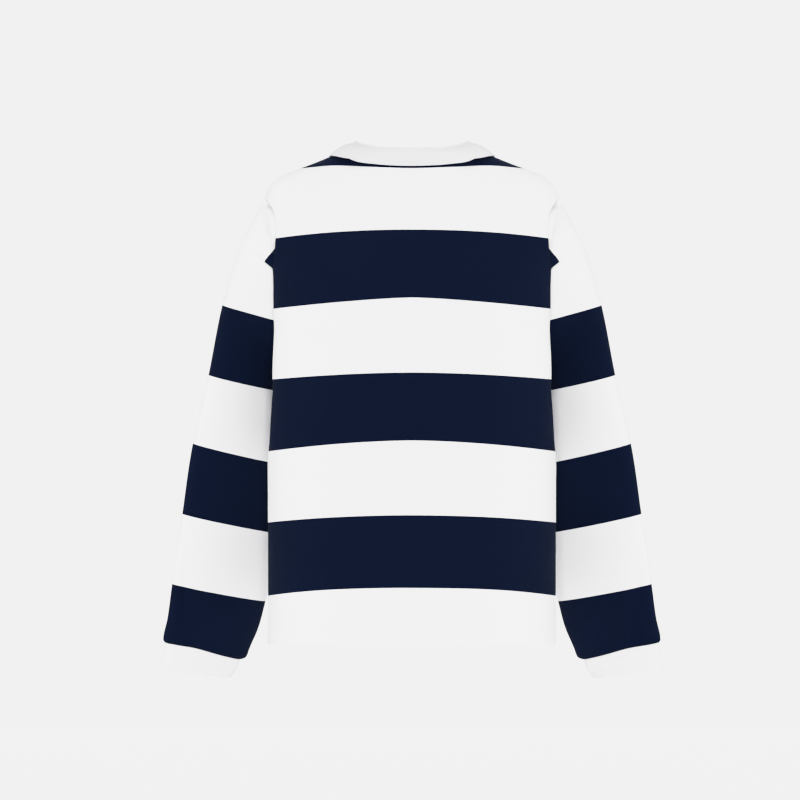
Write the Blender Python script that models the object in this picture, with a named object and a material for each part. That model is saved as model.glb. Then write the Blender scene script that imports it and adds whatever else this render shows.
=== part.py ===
"""Long-sleeved rugby shirt, filled out as it is worn and hollow.

The shirt stands as if on a figure: open at the neck, the hem and both cuffs, with dropped shoulders
and the sleeves hanging a little forward of the sides.  Every cloth piece is a wall.  Its outer face
is worked out from the sizes below and its inner face lies one wall inside.  Pieces that are sewn
together share one seam line, take one direction for their walls there, and stop half a seam gap
short of it.

Axes: +Z is up, the wearer faces -Y and +X is the wearer's left.  The origin is midway between the
two points where the shoulder seams meet the neck, at the height of those points.

Run with: blender --background --python part.py
"""
import math

import bpy
import numpy as np
from mathutils.kdtree import KDTree

# ------------------------------------------------------------------ sizes, metres
NAME = "rugby_shirt"

CLOTH_WALL = 0.0013            # heavy jersey of the panels and sleeves
CUFF_WALL = 0.0020             # doubled rib
COLLAR_WALL = 0.0022           # two layers with interlining
SEAM_GAP = 0.0003              # between pieces sewn to each other
SAME_PLACE = 0.00002           # border points this close are one seam point
MITRE_LIMIT = 2.0              # most that a wall may thicken along a seam that turns sharply

HEM_HEIGHT = -0.700            # hem below the neck points: the body length
ARMPIT_HEIGHT = -0.290         # underarm point
ARMPIT_RISE = 0.012            # centre of the armpit row over its ends
HALF_WIDTH = 0.2030            # half the width of the body tube
SIDE_LINE = -0.005             # depth position of the body's widest points
BACK_DEPTH = 0.128             # body tube behind the side line
BACK_HOLLOW = 0.014            # how far the back comes in below the shoulder blades
FRONT_DEPTH = 0.136            # body tube in front of the side line
BACK_SQUARENESS = 2.5          # exponent of the back half of the tube's section
FRONT_SQUARENESS = 2.0
BACK_ROUNDING = 2.2            # exponent with which the back rounds over to the shoulder line
FRONT_ROUNDING = 1.55          # the same in the middle of the front
EDGE_ZONE = 0.76               # past this share of a panel its columns turn toward the armhole

NECK_HALF_WIDTH = 0.088
NECK_BACK_DEPTH = 0.060        # neck cut behind the neck points, seen from above
NECK_FRONT_DEPTH = 0.088
NECK_CREST = 0.010             # shoulder line carried over the middle of the neck
SHOULDER_FORWARD = 0.012       # how far forward the sleeve end of the shoulder seam lies

# Shoulder seam seen from behind, from the neck point to the sleeve.
SHOULDER_COLUMNS = ("out", "height")
SHOULDER_ROWS = (
    (0.0880, 0.0000),
    (0.1150, -0.0120),
    (0.1540, -0.0288),
    (0.1770, -0.0352),
    (0.1910, -0.0415),
    (0.2000, -0.0535),
    (0.2080, -0.0705),
    (0.2250, -0.1030),
    (0.2417, -0.1340),
)

# Armhole seam: a ring from the shoulder end round behind to the underarm and back up in front.
SHOULDER_END = (0.2417, -0.0120, -0.1340)
UNDERARM = (0.1720, -0.0550, -0.2900)
ARMHOLE_REACH = (-0.004, 0.045, 0.0)     # from the ring's middle to its back
ARMHOLE_BEND = (-0.0285, 0.010, 0.0)     # moves back and front of the ring inward
BEND_LEAN = 0.6                          # how much more of that bend lies in the upper half

# Back drape fold below the dropped shoulder.
RIDGE_AT_ARMPIT = 0.86         # place of the fold's ridge across the back panel
RIDGE_AT_SHOULDER = 0.80
FOLD_WIDTH = 0.075             # ridge to valley, as a share of the panel
FOLD_DEPTH = 0.004

# Sleeve sections from the armhole to the cuff seam.  The outer point lies on top of the arm, the
# inner point under it, and half_depth reaches to the back and to the front between them.
SLEEVE_COLUMNS = ("along", "outer_x", "outer_y", "outer_z", "inner_x", "inner_y", "inner_z",
                  "half_depth")
SLEEVE_ROWS = (
    (0.000, 0.2417, -0.012, -0.1340, 0.1720, -0.055, -0.2900, 0.0450),
    (0.070, 0.2555, -0.017, -0.1760, 0.1900, -0.074, -0.2940, 0.0440),
    (0.150, 0.2685, -0.025, -0.2240, 0.1860, -0.103, -0.3240, 0.0430),
    (0.310, 0.2869, -0.040, -0.3215, 0.1720, -0.132, -0.3860, 0.0410),
    (0.470, 0.3080, -0.052, -0.4216, 0.1700, -0.145, -0.4660, 0.0390),
    (0.640, 0.3214, -0.062, -0.5190, 0.1860, -0.147, -0.5520, 0.0350),
    (0.800, 0.3376, -0.070, -0.6190, 0.2080, -0.143, -0.6420, 0.0300),
    (0.900, 0.3450, -0.074, -0.6660, 0.2190, -0.138, -0.6820, 0.0280),
    (0.970, 0.3495, -0.075, -0.6915, 0.2312, -0.133, -0.7105, 0.0260),
    (0.985, 0.3498, -0.075, -0.6960, 0.2355, -0.131, -0.7195, 0.0250),
    (1.000, 0.3500, -0.076, -0.7000, 0.2446, -0.127, -0.7232, 0.0220),
)
CUFF_ROWS = (
    (0.000, 0.3500, -0.076, -0.7000, 0.2446, -0.127, -0.7232, 0.0220),
    (0.150, 0.3508, -0.076, -0.7060, 0.2460, -0.126, -0.7275, 0.0215),
    (1.000, 0.3537, -0.077, -0.7390, 0.2587, -0.121, -0.7510, 0.0210),
)

# Collar, by the angle round the neck from the middle of the back (0) to the front end (180).  The
# fold is where the collar turns over.  Its free edge lies on the panels, at edge_across of the way
# to the armhole and edge_over past the shoulder line: behind it if positive, in front if negative.
COLLAR_COLUMNS = ("angle", "fold_out", "fold_y", "fold_z", "edge_across", "edge_over")
COLLAR_ROWS = (
    (0.0, 0.0000, 0.0550, 0.0050, 0.000, 0.340),
    (30.0, 0.0420, 0.0460, 0.0055, 0.240, 0.315),
    (60.0, 0.0700, 0.0250, 0.0080, 0.415, 0.225),
    (90.0, 0.0800, 0.0000, 0.0090, 0.490, 0.000),
    (120.0, 0.0680, -0.0420, -0.0090, 0.475, -0.230),
    (150.0, 0.0400, -0.0740, -0.0420, 0.360, -0.440),
    (180.0, 0.0030, -0.0900, -0.0720, 0.230, -0.590),
)
COLLAR_LIFT = 0.0035           # free edge's under side above the panels
FOLD_RADIUS = 0.0016           # inside the collar's fold

PLACKET_WIDTH = 0.032
PLACKET_FOOT = -0.235          # height of the placket's lower end
PLACKET_WALL = 0.0014
LAY_GAP = 0.0004               # between a strip and the panel that it lies on
SLIT_WIDTH = 0.0024            # front opening under the placket
BUTTON_HEIGHTS = (-0.118, -0.163, -0.208)
BUTTON_RADIUS = 0.0065
BUTTON_THICKNESS = 0.0028
BUTTON_GAP = 0.0008            # between a button and the curved placket

LOWER_ROWS = 11                # faces from the hem to the armpit
UPPER_ROWS = 14                # faces from the armpit to the shoulder, and half round a sleeve
SLEEVE_LENGTHS = 20            # faces along a sleeve

WHITE = (0.86, 0.86, 0.87)
RUBBER = (0.80, 0.80, 0.80)


# ------------------------------------------------------------------ curves and tables
def column(rows, columns, name):
    """One named column of a table.

    Args:
        rows: the table's rows.
        columns: the names of its columns.
        name: the column wanted.

    Returns:
        The column as an array.
    """
    return np.array([row[columns.index(name)] for row in rows])


def curve_through(knots, values, at):
    """Smooth curve through a table's values: cubic pieces whose slopes come from the neighbours.

    Args:
        knots: rising places where the values stand.
        values: one value or point for each knot.
        at: places where the curve is wanted.

    Returns:
        The values there.
    """
    values = np.asarray(values, float)
    slopes = np.gradient(values, knots, axis=0)
    at = np.clip(at, knots[0], knots[-1])
    cell = np.clip(np.searchsorted(knots, at, side="right") - 1, 0, len(knots) - 2)
    width = knots[cell + 1] - knots[cell]
    step = (at - knots[cell]) / width
    if values.ndim > 1:
        width = width[..., None]
        step = step[..., None]
    start_weight = 1 - step ** 2 * (3 - 2 * step)
    slope_out = step * (1 - step) ** 2 * width
    slope_in = -(step ** 2) * (1 - step) * width
    return (values[cell] * start_weight + values[cell + 1] * (1 - start_weight)
            + slopes[cell] * slope_out + slopes[cell + 1] * slope_in)


def ease(value):
    """Ramp from 0 to 1 with level ends, flat outside that range."""
    value = np.clip(value, 0.0, 1.0)
    return value * value * (3.0 - 2.0 * value)


# ------------------------------------------------------------------ body
def bend_weight(turn):
    """Share of the armhole's bend at a turn round it, none at the shoulder and at the underarm."""
    return np.sin(turn) ** 2 * (1 + BEND_LEAN * np.cos(turn))


def armhole(turn):
    """Points of the armhole seam.

    The seam is an ellipse between the shoulder end and the underarm, bent inward behind and in
    front.  Turn 0 is the shoulder end, a quarter turn is behind and a half turn is the underarm.
    """
    turn = np.asarray(turn)[..., None]
    top = np.array(SHOULDER_END)
    foot = np.array(UNDERARM)
    return ((top + foot) / 2 + (top - foot) / 2 * np.cos(turn) + np.array(ARMHOLE_REACH) * np.sin(turn)
            + np.array(ARMHOLE_BEND) * bend_weight(turn))


def shoulder_line(across):
    """Points of the shoulder seam, carried on over the neck to the middle of the body.

    Args:
        across: 0 in the middle of the body and 1 at the armhole.

    Returns:
        The points, evenly spaced along the seam past the neck point.
    """
    out = column(SHOULDER_ROWS, SHOULDER_COLUMNS, "out")
    height = column(SHOULDER_ROWS, SHOULDER_COLUMNS, "height")
    run = np.concatenate([[0.0], np.cumsum(np.hypot(np.diff(out), np.diff(height)))])
    neck_share = 0.42
    along = np.clip((across - neck_share) / (1 - neck_share), 0.0, 1.0) * run[-1]
    inside = np.clip(across / neck_share, 0.0, 1.0)
    x = np.where(across < neck_share, inside * NECK_HALF_WIDTH, curve_through(run, out, along))
    z = np.where(across < neck_share, NECK_CREST * (1 - inside ** 2), curve_through(run, height, along))
    y = -SHOULDER_FORWARD * along / run[-1]
    return np.stack([x, y, z], axis=-1)


def tube(side, across, rise):
    """Body below the armpits: a rounded tube whose side seams tuck in under the arms.

    Args:
        side: 1 for the back and -1 for the front.
        across: 0 in the middle and 1 at the side seam.
        rise: 0 at the hem and 1 at the armpit row.

    Returns:
        The points.
    """
    angle = across * math.pi / 2
    if side > 0:
        hollow = BACK_HOLLOW * np.sin(math.pi * np.clip(1.15 - rise, 0, 1)) * np.cos(angle)
        depth = BACK_DEPTH - hollow
        power = BACK_SQUARENESS
        tuck_share = ease((across - 0.83) / 0.14)
        forward_share = ease((across - 0.76) / 0.22)
    else:
        depth = FRONT_DEPTH * (1 - 0.06 * (1 - rise))
        power = FRONT_SQUARENESS
        tuck_share = ease((across - 0.50) / 0.50)
        forward_share = ease((across - 0.55) / 0.45)
    reach = (np.abs(np.cos(angle) / depth) ** power + np.abs(np.sin(angle) / HALF_WIDTH) ** power) ** (-1 / power)
    tuck = ease((rise - 0.60) / 0.40)
    x = reach * np.sin(angle) + (UNDERARM[0] - HALF_WIDTH) * tuck * tuck_share
    y = SIDE_LINE + side * reach * np.cos(angle) + (UNDERARM[1] - SIDE_LINE) * tuck * forward_share
    top = ARMPIT_HEIGHT + ARMPIT_RISE * (1 - across ** 2)
    z = HEM_HEIGHT + (top - HEM_HEIGHT) * rise
    return np.stack([x, y, z], axis=-1)


def rounded(side, across, rise):
    """Body above the armpits before it is drawn onto the armhole seam.

    Each column rounds over from the tube to the shoulder line as a quarter of a superellipse, more
    evenly spaced in height near the armhole.

    Args:
        side: 1 for the back and -1 for the front.
        across: 0 in the middle and 1 at the armhole.
        rise: 0 at the armpit row and 1 at the shoulder line.

    Returns:
        The points.
    """
    start = tube(side, across, np.ones_like(rise))
    end = shoulder_line(across)
    level = 2 / math.pi * np.arcsin((1 - np.cos(math.pi * rise)) / 2)
    turn = (rise + ease((across - 0.70) / 0.30) * (level - rise)) * math.pi / 2
    power = BACK_ROUNDING if side > 0 else FRONT_ROUNDING + (BACK_ROUNDING - FRONT_ROUNDING) * across
    lift = np.sin(turn) ** (2 / power)
    fall = np.cos(turn) ** (2 / power)
    x = start[..., 0] + (end[..., 0] - start[..., 0]) * lift ** 2
    y = end[..., 1] + (start[..., 1] - end[..., 1]) * fall
    z = start[..., 2] + (end[..., 2] - start[..., 2]) * lift
    return np.stack([x, y, z], axis=-1)


def yoke(side, across, rise):
    """Body above the armpits, drawn onto the armhole seam and with its drape fold behind.

    Args:
        side: 1 for the back and -1 for the front.
        across: 0 in the middle and 1 at the armhole.
        rise: 0 at the armpit row and 1 at the shoulder line.

    Returns:
        The points.
    """
    points = rounded(side, across, rise)
    edge = ease((across - EDGE_ZONE) / (1 - EDGE_ZONE))[..., None]
    points = points + edge * (armhole(side * math.pi * (1 - rise)) - rounded(side, np.ones_like(rise), rise))
    if side > 0:
        ridge = RIDGE_AT_ARMPIT + (RIDGE_AT_SHOULDER - RIDGE_AT_ARMPIT) * rise
        place = (across - ridge) / FOLD_WIDTH
        strength = FOLD_DEPTH * np.sin(math.pi * np.clip((rise - 0.12) / 0.78, 0, 1))
        strength = strength * (1 - ease((across - 0.92) / 0.08))
        dip = strength * np.exp(-((place - 1.0) / 0.7) ** 2)
        crest = 0.25 * strength * np.exp(-(place / 0.8) ** 2)
        points = points + np.stack([crest - dip, 0.5 * crest - 0.7 * dip, 0 * dip], axis=-1)
    return points


def body(side, across, rise):
    """Points of a body panel; rise goes from 0 at the hem through 1 at the armpits to 2 on top."""
    across, rise = np.broadcast_arrays(across, rise)
    low = tube(side, across, np.clip(rise, 0, 1))
    high = yoke(side, across, np.clip(rise - 1, 0, 1))
    return np.where(rise[..., None] <= 1, low, high)


def neck_rise(side, across):
    """Rise at which each column of a panel meets the neck cut, and 2 past the neck point.

    The neck cut is an ellipse seen from above, with one depth behind and another in front.
    """
    depth = NECK_BACK_DEPTH if side > 0 else NECK_FRONT_DEPTH
    trial = np.linspace(1.0, 2.0, 801)
    tops = np.full(len(across), 2.0)
    for index, place in enumerate(across):
        if place < 0.42 - 1e-6:
            points = body(side, np.full_like(trial, place), trial)
            outside = (points[:, 0] / NECK_HALF_WIDTH) ** 2 + (points[:, 1] / depth) ** 2 - 1
            first = int(np.argmax(outside < 0))
            share = outside[first - 1] / (outside[first - 1] - outside[first])
            tops[index] = trial[first - 1] + share * (trial[first] - trial[first - 1])
    return tops


def column_places():
    """Places of the columns across half a panel: the slit's edge, the neck point and a fine fold."""
    slit = 0.5 * SLIT_WIDTH / 0.2
    inner = 0.42 * np.sin(np.linspace(0.0, math.pi / 2, 8)[1:])
    outer = np.linspace(0.42, 0.74, 5)[1:]
    fold = np.linspace(0.74, 1.0, 10)[1:]
    return np.concatenate([[0.0, slit], inner, outer, fold])


def panel_grid(side):
    """Grid of a whole body panel, from the wearer's right armhole to the left one.

    Returns:
        The points, rows from the hem up, and the signed places across.
    """
    half = column_places()
    tops = neck_rise(side, half)
    lower = np.linspace(0.0, 1.0, LOWER_ROWS + 1)
    upper = np.linspace(0.0, 1.0, UPPER_ROWS + 1)[1:]
    rise = np.concatenate([np.repeat(lower[:, None], len(half), axis=1),
                           1 + upper[:, None] * (tops[None, :] - 1)])
    points = body(side, half[None, :], rise)
    mirrored = points[:, :0:-1].copy()
    mirrored[..., 0] *= -1
    places = np.concatenate([-half[:0:-1], half])
    return np.concatenate([mirrored, points], axis=1), places


# ------------------------------------------------------------------ sleeves
def tube_section(rows, along, turn):
    """Points round a sleeve or a cuff.

    Each section is the ellipse between its outer and its inner point, as deep as its row states.
    The first sleeve section is the armhole seam itself, and its bend fades along the sleeve.

    Args:
        rows: the section table.
        along: 0 at the start and 1 at the end.
        turn: 0 at the outer point, a quarter turn behind.

    Returns:
        The points.
    """
    knots = column(rows, SLEEVE_COLUMNS, "along")
    outer = curve_through(knots, np.array([row[1:4] for row in rows]), along)
    inner = curve_through(knots, np.array([row[4:7] for row in rows]), along)
    depth = curve_through(knots, column(rows, SLEEVE_COLUMNS, "half_depth"), along)
    fade = np.zeros_like(along) if rows is CUFF_ROWS else 1 - ease(along / 0.12)
    reach = np.stack([ARMHOLE_REACH[0] * fade, depth, 0 * depth], axis=-1)
    bend = np.array(ARMHOLE_BEND) * fade[..., None]
    turn = turn[..., None]
    return ((outer + inner) / 2 + (outer - inner) / 2 * np.cos(turn) + reach * np.sin(turn)
            + bend * bend_weight(turn))


def tube_grid(rows, lengths):
    """Grid of a sleeve or a cuff on the wearer's left, closed round."""
    knots = column(rows, SLEEVE_COLUMNS, "along")
    along = np.interp(np.linspace(0, len(knots) - 1, lengths + 1), np.arange(len(knots)), knots)
    turns = np.concatenate([math.pi * (1 - np.linspace(0.0, 1.0, UPPER_ROWS + 1)[::-1]),
                            math.pi * (1 + np.linspace(0.0, 1.0, UPPER_ROWS + 1)[1:-1])])
    grid_along, grid_turn = np.meshgrid(along, turns, indexing="ij")
    return tube_section(rows, grid_along, grid_turn)


# ------------------------------------------------------------------ collar
def neck_seam():
    """Points of the neck seam on the wearer's left, and their angles round the neck.

    The points are those of the panels' own columns, from the middle of the back to the front slit.
    """
    half = column_places()
    half = half[half < 0.42 + 1e-6]
    back = body(1, half, neck_rise(1, half))
    front = body(-1, half[::-1], neck_rise(-1, half[::-1]))
    seam = np.concatenate([back, front[1:-1]])
    depth = np.where(seam[:, 1] > 0, NECK_BACK_DEPTH, NECK_FRONT_DEPTH)
    return seam, np.arctan2(seam[:, 0] / NECK_HALF_WIDTH, seam[:, 1] / depth)


def above_panels(across, over, lift):
    """Points a little above the panels.

    Args:
        across: 0 in the middle and 1 at the armhole.
        over: rise past the shoulder line, behind it if positive and in front of it if negative.
        lift: height above the panel's outer face.

    Returns:
        The points.
    """
    def surface(shift_across, shift_over):
        place = over + shift_over
        back = body(1, across + shift_across, 2 - np.abs(place))
        front = body(-1, across + shift_across, 2 - np.abs(place))
        return np.where(place[:, None] >= 0, back, front)

    step = 0.01
    sideways = surface(step, 0.0) - surface(-step, 0.0)
    backward = surface(0.0, step) - surface(0.0, -step)
    return surface(0.0, 0.0) + lift * unit(np.cross(sideways, backward))


def collar_grid():
    """Grid of the collar's under side: up the stand from the neck seam, over the fold and down.

    Returns:
        The points, rows from the neck seam to the free edge and columns from right to left.
    """
    seam, half = neck_seam()
    knots = np.radians(column(COLLAR_ROWS, COLLAR_COLUMNS, "angle"))
    fold = curve_through(knots, np.array([row[1:4] for row in COLLAR_ROWS]), half)
    edge_across = curve_through(knots, column(COLLAR_ROWS, COLLAR_COLUMNS, "edge_across"), half)
    edge_over = curve_through(knots, column(COLLAR_ROWS, COLLAR_COLUMNS, "edge_over"), half)
    edge = above_panels(edge_across, edge_over, COLLAR_LIFT)
    outward = edge - fold
    outward[:, 2] = 0.0
    outward /= np.linalg.norm(outward, axis=1)[:, None]
    up = np.array([0.0, 0.0, 1.0])
    inner_foot = fold - FOLD_RADIUS * outward - 0.0016 * up
    outer_foot = fold + FOLD_RADIUS * outward - 0.0016 * up
    rows = [seam, seam + 0.5 * (inner_foot - seam), inner_foot,
            fold - 0.5 * FOLD_RADIUS * outward, fold + 0.5 * FOLD_RADIUS * outward, outer_foot]
    for share in (0.25, 0.5, 0.75, 1.0):
        swell = 0.0035 * math.sin(math.pi * share)
        rows.append(outer_foot + (edge - outer_foot) * share + swell * (up + 0.5 * outward))
    points = np.stack(rows)
    mirrored = points[:, :0:-1].copy()
    mirrored[..., 0] *= -1
    return np.concatenate([mirrored, points], axis=1)


# ------------------------------------------------------------------ walls
def grid_faces(rows, columns, closed=False):
    """Corner numbers of a grid's faces, turned so that rows run up and columns run to the right."""
    count = columns if closed else columns - 1
    row, col = np.meshgrid(np.arange(rows - 1), np.arange(count), indexing="ij")
    nxt = (col + 1) % columns
    corners = [row * columns + col, row * columns + nxt, (row + 1) * columns + nxt, (row + 1) * columns + col]
    return np.stack(corners, axis=-1).reshape(-1, 4)


def triangles(points, quads):
    """Each four-cornered face cut along its shorter diagonal, so that both sides of a wall agree."""
    corner = points[quads]
    first = np.linalg.norm(corner[:, 0] - corner[:, 2], axis=1)
    second = np.linalg.norm(corner[:, 1] - corner[:, 3], axis=1)
    one_way = np.concatenate([quads[:, [0, 1, 2]], quads[:, [0, 2, 3]]], axis=1)
    other_way = np.concatenate([quads[:, [0, 1, 3]], quads[:, [1, 2, 3]]], axis=1)
    return np.where((first <= second)[:, None], one_way, other_way).reshape(-1, 3)


def unit(vectors):
    """Vectors scaled to a length of one."""
    return vectors / (np.linalg.norm(vectors, axis=-1, keepdims=True) + 1e-12)


def vertex_normals(points, faces):
    """Direction of the surface at each point, and the angle that the sheet takes up round it."""
    corners = points[faces]
    flat = unit(np.cross(corners[:, 1] - corners[:, 0], corners[:, 2] - corners[:, 0]))
    normals = np.zeros_like(points)
    spread = np.zeros(len(points))
    for corner in range(3):
        ahead = unit(corners[:, (corner + 1) % 3] - corners[:, corner])
        behind = unit(corners[:, (corner + 2) % 3] - corners[:, corner])
        angle = np.arccos(np.clip(np.sum(ahead * behind, axis=1), -1, 1))
        np.add.at(normals, faces[:, corner], flat * angle[:, None])
        np.add.at(spread, faces[:, corner], angle)
    return unit(normals), spread


class Sheet:
    """One cloth piece before it has a wall: points, faces and the direction of its wall."""

    def __init__(self, name, points, quads, wall, material):
        self.name = name
        self.points = points.reshape(-1, 3)
        self.faces = triangles(self.points, quads)
        self.wall = wall
        self.material = material
        self.normals, self.spread = vertex_normals(self.points, self.faces)

    def border(self):
        """Directed edges that belong to one face only."""
        edges = {}
        for face in self.faces.tolist():
            for index in range(3):
                edge = (face[index], face[(index + 1) % 3])
                edges[edge] = True
        return [edge for edge in edges if (edge[1], edge[0]) not in edges]


def step_inside(sheet, met_points):
    """Steps that take a sheet's seam points half a seam gap inside its border.

    Args:
        sheet: the sheet.
        met_points: numbers of the points that it shares with other sheets.

    Returns:
        The step of each of these points.
    """
    sides = {}
    for start, end in sheet.border():
        if start in met_points and end in met_points:
            for index in (start, end):
                along = unit(sheet.points[end] - sheet.points[start])
                sides.setdefault(index, []).append(unit(np.cross(sheet.normals[index], along)))
    steps = {}
    for index, inward in sides.items():
        total = sum(inward)
        reach = 1.0 if len(inward) == 1 else 1.0 / max(1.0 + float(inward[0] @ inward[1]), 0.4)
        steps[index] = total * reach * SEAM_GAP * 0.6
    return steps


def join_seams(sheets):
    """Give the sheets that meet on a seam one wall direction there, then part them.

    Where the seam turns, the walls meet on a mitre and grow a little thicker.
    """
    ends = []
    for sheet in sheets:
        for index in sorted({index for edge in sheet.border() for index in edge}):
            ends.append((sheet, index))
    tree = KDTree(len(ends))
    for order, (sheet, index) in enumerate(ends):
        tree.insert(sheet.points[index], order)
    tree.balance()
    met_points = {sheet.name: {} for sheet in sheets}
    for sheet, index in ends:
        met = [ends[order] for _, order, _ in tree.find_range(sheet.points[index], SAME_PLACE)]
        if len({other.name for other, _ in met}) > 1:
            total = sum(other.normals[place] * other.spread[place] for other, place in met)
            length = np.linalg.norm(total)
            share = sum(other.spread[place] for other, place in met) / length
            met_points[sheet.name][index] = total / length * min(share, MITRE_LIMIT)
    for sheet in sheets:
        steps = step_inside(sheet, met_points[sheet.name])
        for index, direction in met_points[sheet.name].items():
            sheet.normals[index] = direction
            sheet.points[index] = sheet.points[index] + steps.get(index, 0.0)


def make_material(name, colour, roughness):
    """Principled material with one colour."""
    material = bpy.data.materials.new(name)
    material.use_nodes = True
    shader = material.node_tree.nodes["Principled BSDF"]
    shader.inputs["Base Color"].default_value = (*colour, 1.0)
    shader.inputs["Roughness"].default_value = roughness
    shader.inputs["Metallic"].default_value = 0.0
    material.diffuse_color = (*colour, 1.0)
    return material


def add_solid(name, points, faces, material, group):
    """Mesh object from points and faces, with its faces turned outward."""
    mesh = bpy.data.meshes.new(name)
    mesh.from_pydata([tuple(point) for point in points.tolist()], [], faces)
    mesh.validate()
    mesh.materials.append(material)
    for polygon in mesh.polygons:
        polygon.use_smooth = True
    thing = bpy.data.objects.new(name, mesh)
    group.objects.link(thing)
    return thing


def add_wall(sheet, group):
    """Closed wall of a sheet: the outer face, the inner face and a rim along every border.

    Each part of the rim is cut from its higher outer corner, so that the rims of two sheets that
    meet on a seam are cut alike.
    """
    inner = sheet.points - sheet.wall * sheet.normals
    count = len(sheet.points)
    faces = sheet.faces.tolist()
    faces += (sheet.faces[:, ::-1] + count).tolist()
    level = sheet.points @ np.array([0.0, 0.37, 1.0])
    for start, end in sheet.border():
        if level[start] > level[end]:
            faces += [(end, start, end + count), (start, start + count, end + count)]
        else:
            faces += [(end, start, start + count), (end, start + count, end + count)]
    used = sorted({index for face in faces for index in face})
    place = {index: order for order, index in enumerate(used)}
    faces = [tuple(place[index] for index in face) for face in faces]
    return add_solid(sheet.name, np.concatenate([sheet.points, inner])[used], faces, sheet.material, group)


# ------------------------------------------------------------------ front opening
def strip_on_front(name, outside, material, group):
    """Placket strip made from the front panel's points, moved out of the panel or into the body.

    Args:
        name: the strip's name.
        outside: True for the strip that shows.
        material: its material.
        group: collection that takes it.
    """
    half = np.linspace(0.0, PLACKET_WIDTH / 2 / 0.2, 3)
    trial = np.linspace(1.0, 1.9, 400)
    foot = float(np.interp(PLACKET_FOOT, body(-1, np.zeros(400), trial)[:, 2], trial))
    tops = neck_rise(-1, half) - 0.004
    share = np.linspace(0.0, 1.0, 13)[:, None]
    rise = foot + share * (tops[None, :] - foot)
    points = body(-1, half[None, :], rise)
    mirrored = points[:, :0:-1].copy()
    mirrored[..., 0] *= -1
    points = np.concatenate([mirrored, points], axis=1)
    faces = grid_faces(*points.shape[:2])
    sheet = Sheet(name, points, faces, PLACKET_WALL, material)
    away = LAY_GAP + PLACKET_WALL if outside else -(CLOTH_WALL + LAY_GAP)
    sheet.points = sheet.points + away * sheet.normals
    return add_wall(sheet, group)


def add_button(name, height, material, group):
    """Flat round button with a raised rim, resting just clear of the placket."""
    trial = np.linspace(1.0, 1.9, 400)
    line = body(-1, np.zeros(400), trial)
    rise = np.interp(height, line[:, 2], trial)
    here = body(-1, np.zeros(1), np.array([rise]))[0]
    above = body(-1, np.zeros(1), np.array([rise + 0.02]))[0]
    slope = (above - here) / np.linalg.norm(above - here)
    facing = np.array([0.0, -slope[2], slope[1]])
    facing = facing if facing[1] < 0 else -facing
    start = here + facing * (LAY_GAP + PLACKET_WALL + BUTTON_GAP)
    side = np.array([1.0, 0.0, 0.0])
    upward = np.cross(facing, side)
    turn = np.linspace(0, 2 * math.pi, 20, endpoint=False)
    profile = ((0.88, 0.0), (1.0, 0.3), (1.0, 0.75), (0.90, 1.0), (0.74, 0.95), (0.68, 0.72))
    points = []
    for reach, lift in profile:
        ring = (np.cos(turn)[:, None] * side + np.sin(turn)[:, None] * upward) * BUTTON_RADIUS * reach
        points.append(start + ring + facing * BUTTON_THICKNESS * lift)
    points = np.concatenate(points)
    count = len(turn)
    faces = grid_faces(len(profile), count, closed=True)[:, ::-1].tolist()
    faces.append(list(range(count)))
    faces.append(list(range(5 * count, 6 * count))[::-1])
    return add_solid(name, points, [tuple(face) for face in faces], material, group)


def front_faces(rows, places, points):
    """Faces of the front panel without those of the slit, which ends behind the placket."""
    faces = grid_faces(rows, len(places))
    middle = len(places) // 2
    centre = points.reshape(-1, 3)[faces].mean(axis=1)
    in_slit = np.isin(faces[:, 0] % len(places), (middle - 1, middle)) & (centre[:, 2] > PLACKET_FOOT + 0.02)
    return faces[~in_slit]


def outward(group):
    """Turn every solid whose faces look inward."""
    for thing in group.objects:
        mesh = thing.data
        volume = 0.0
        for polygon in mesh.polygons:
            corners = [mesh.vertices[index].co for index in polygon.vertices]
            for index in range(1, len(corners) - 1):
                volume += corners[0].dot(corners[index].cross(corners[index + 1])) / 6
        if volume < 0:
            mesh.flip_normals()


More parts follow.
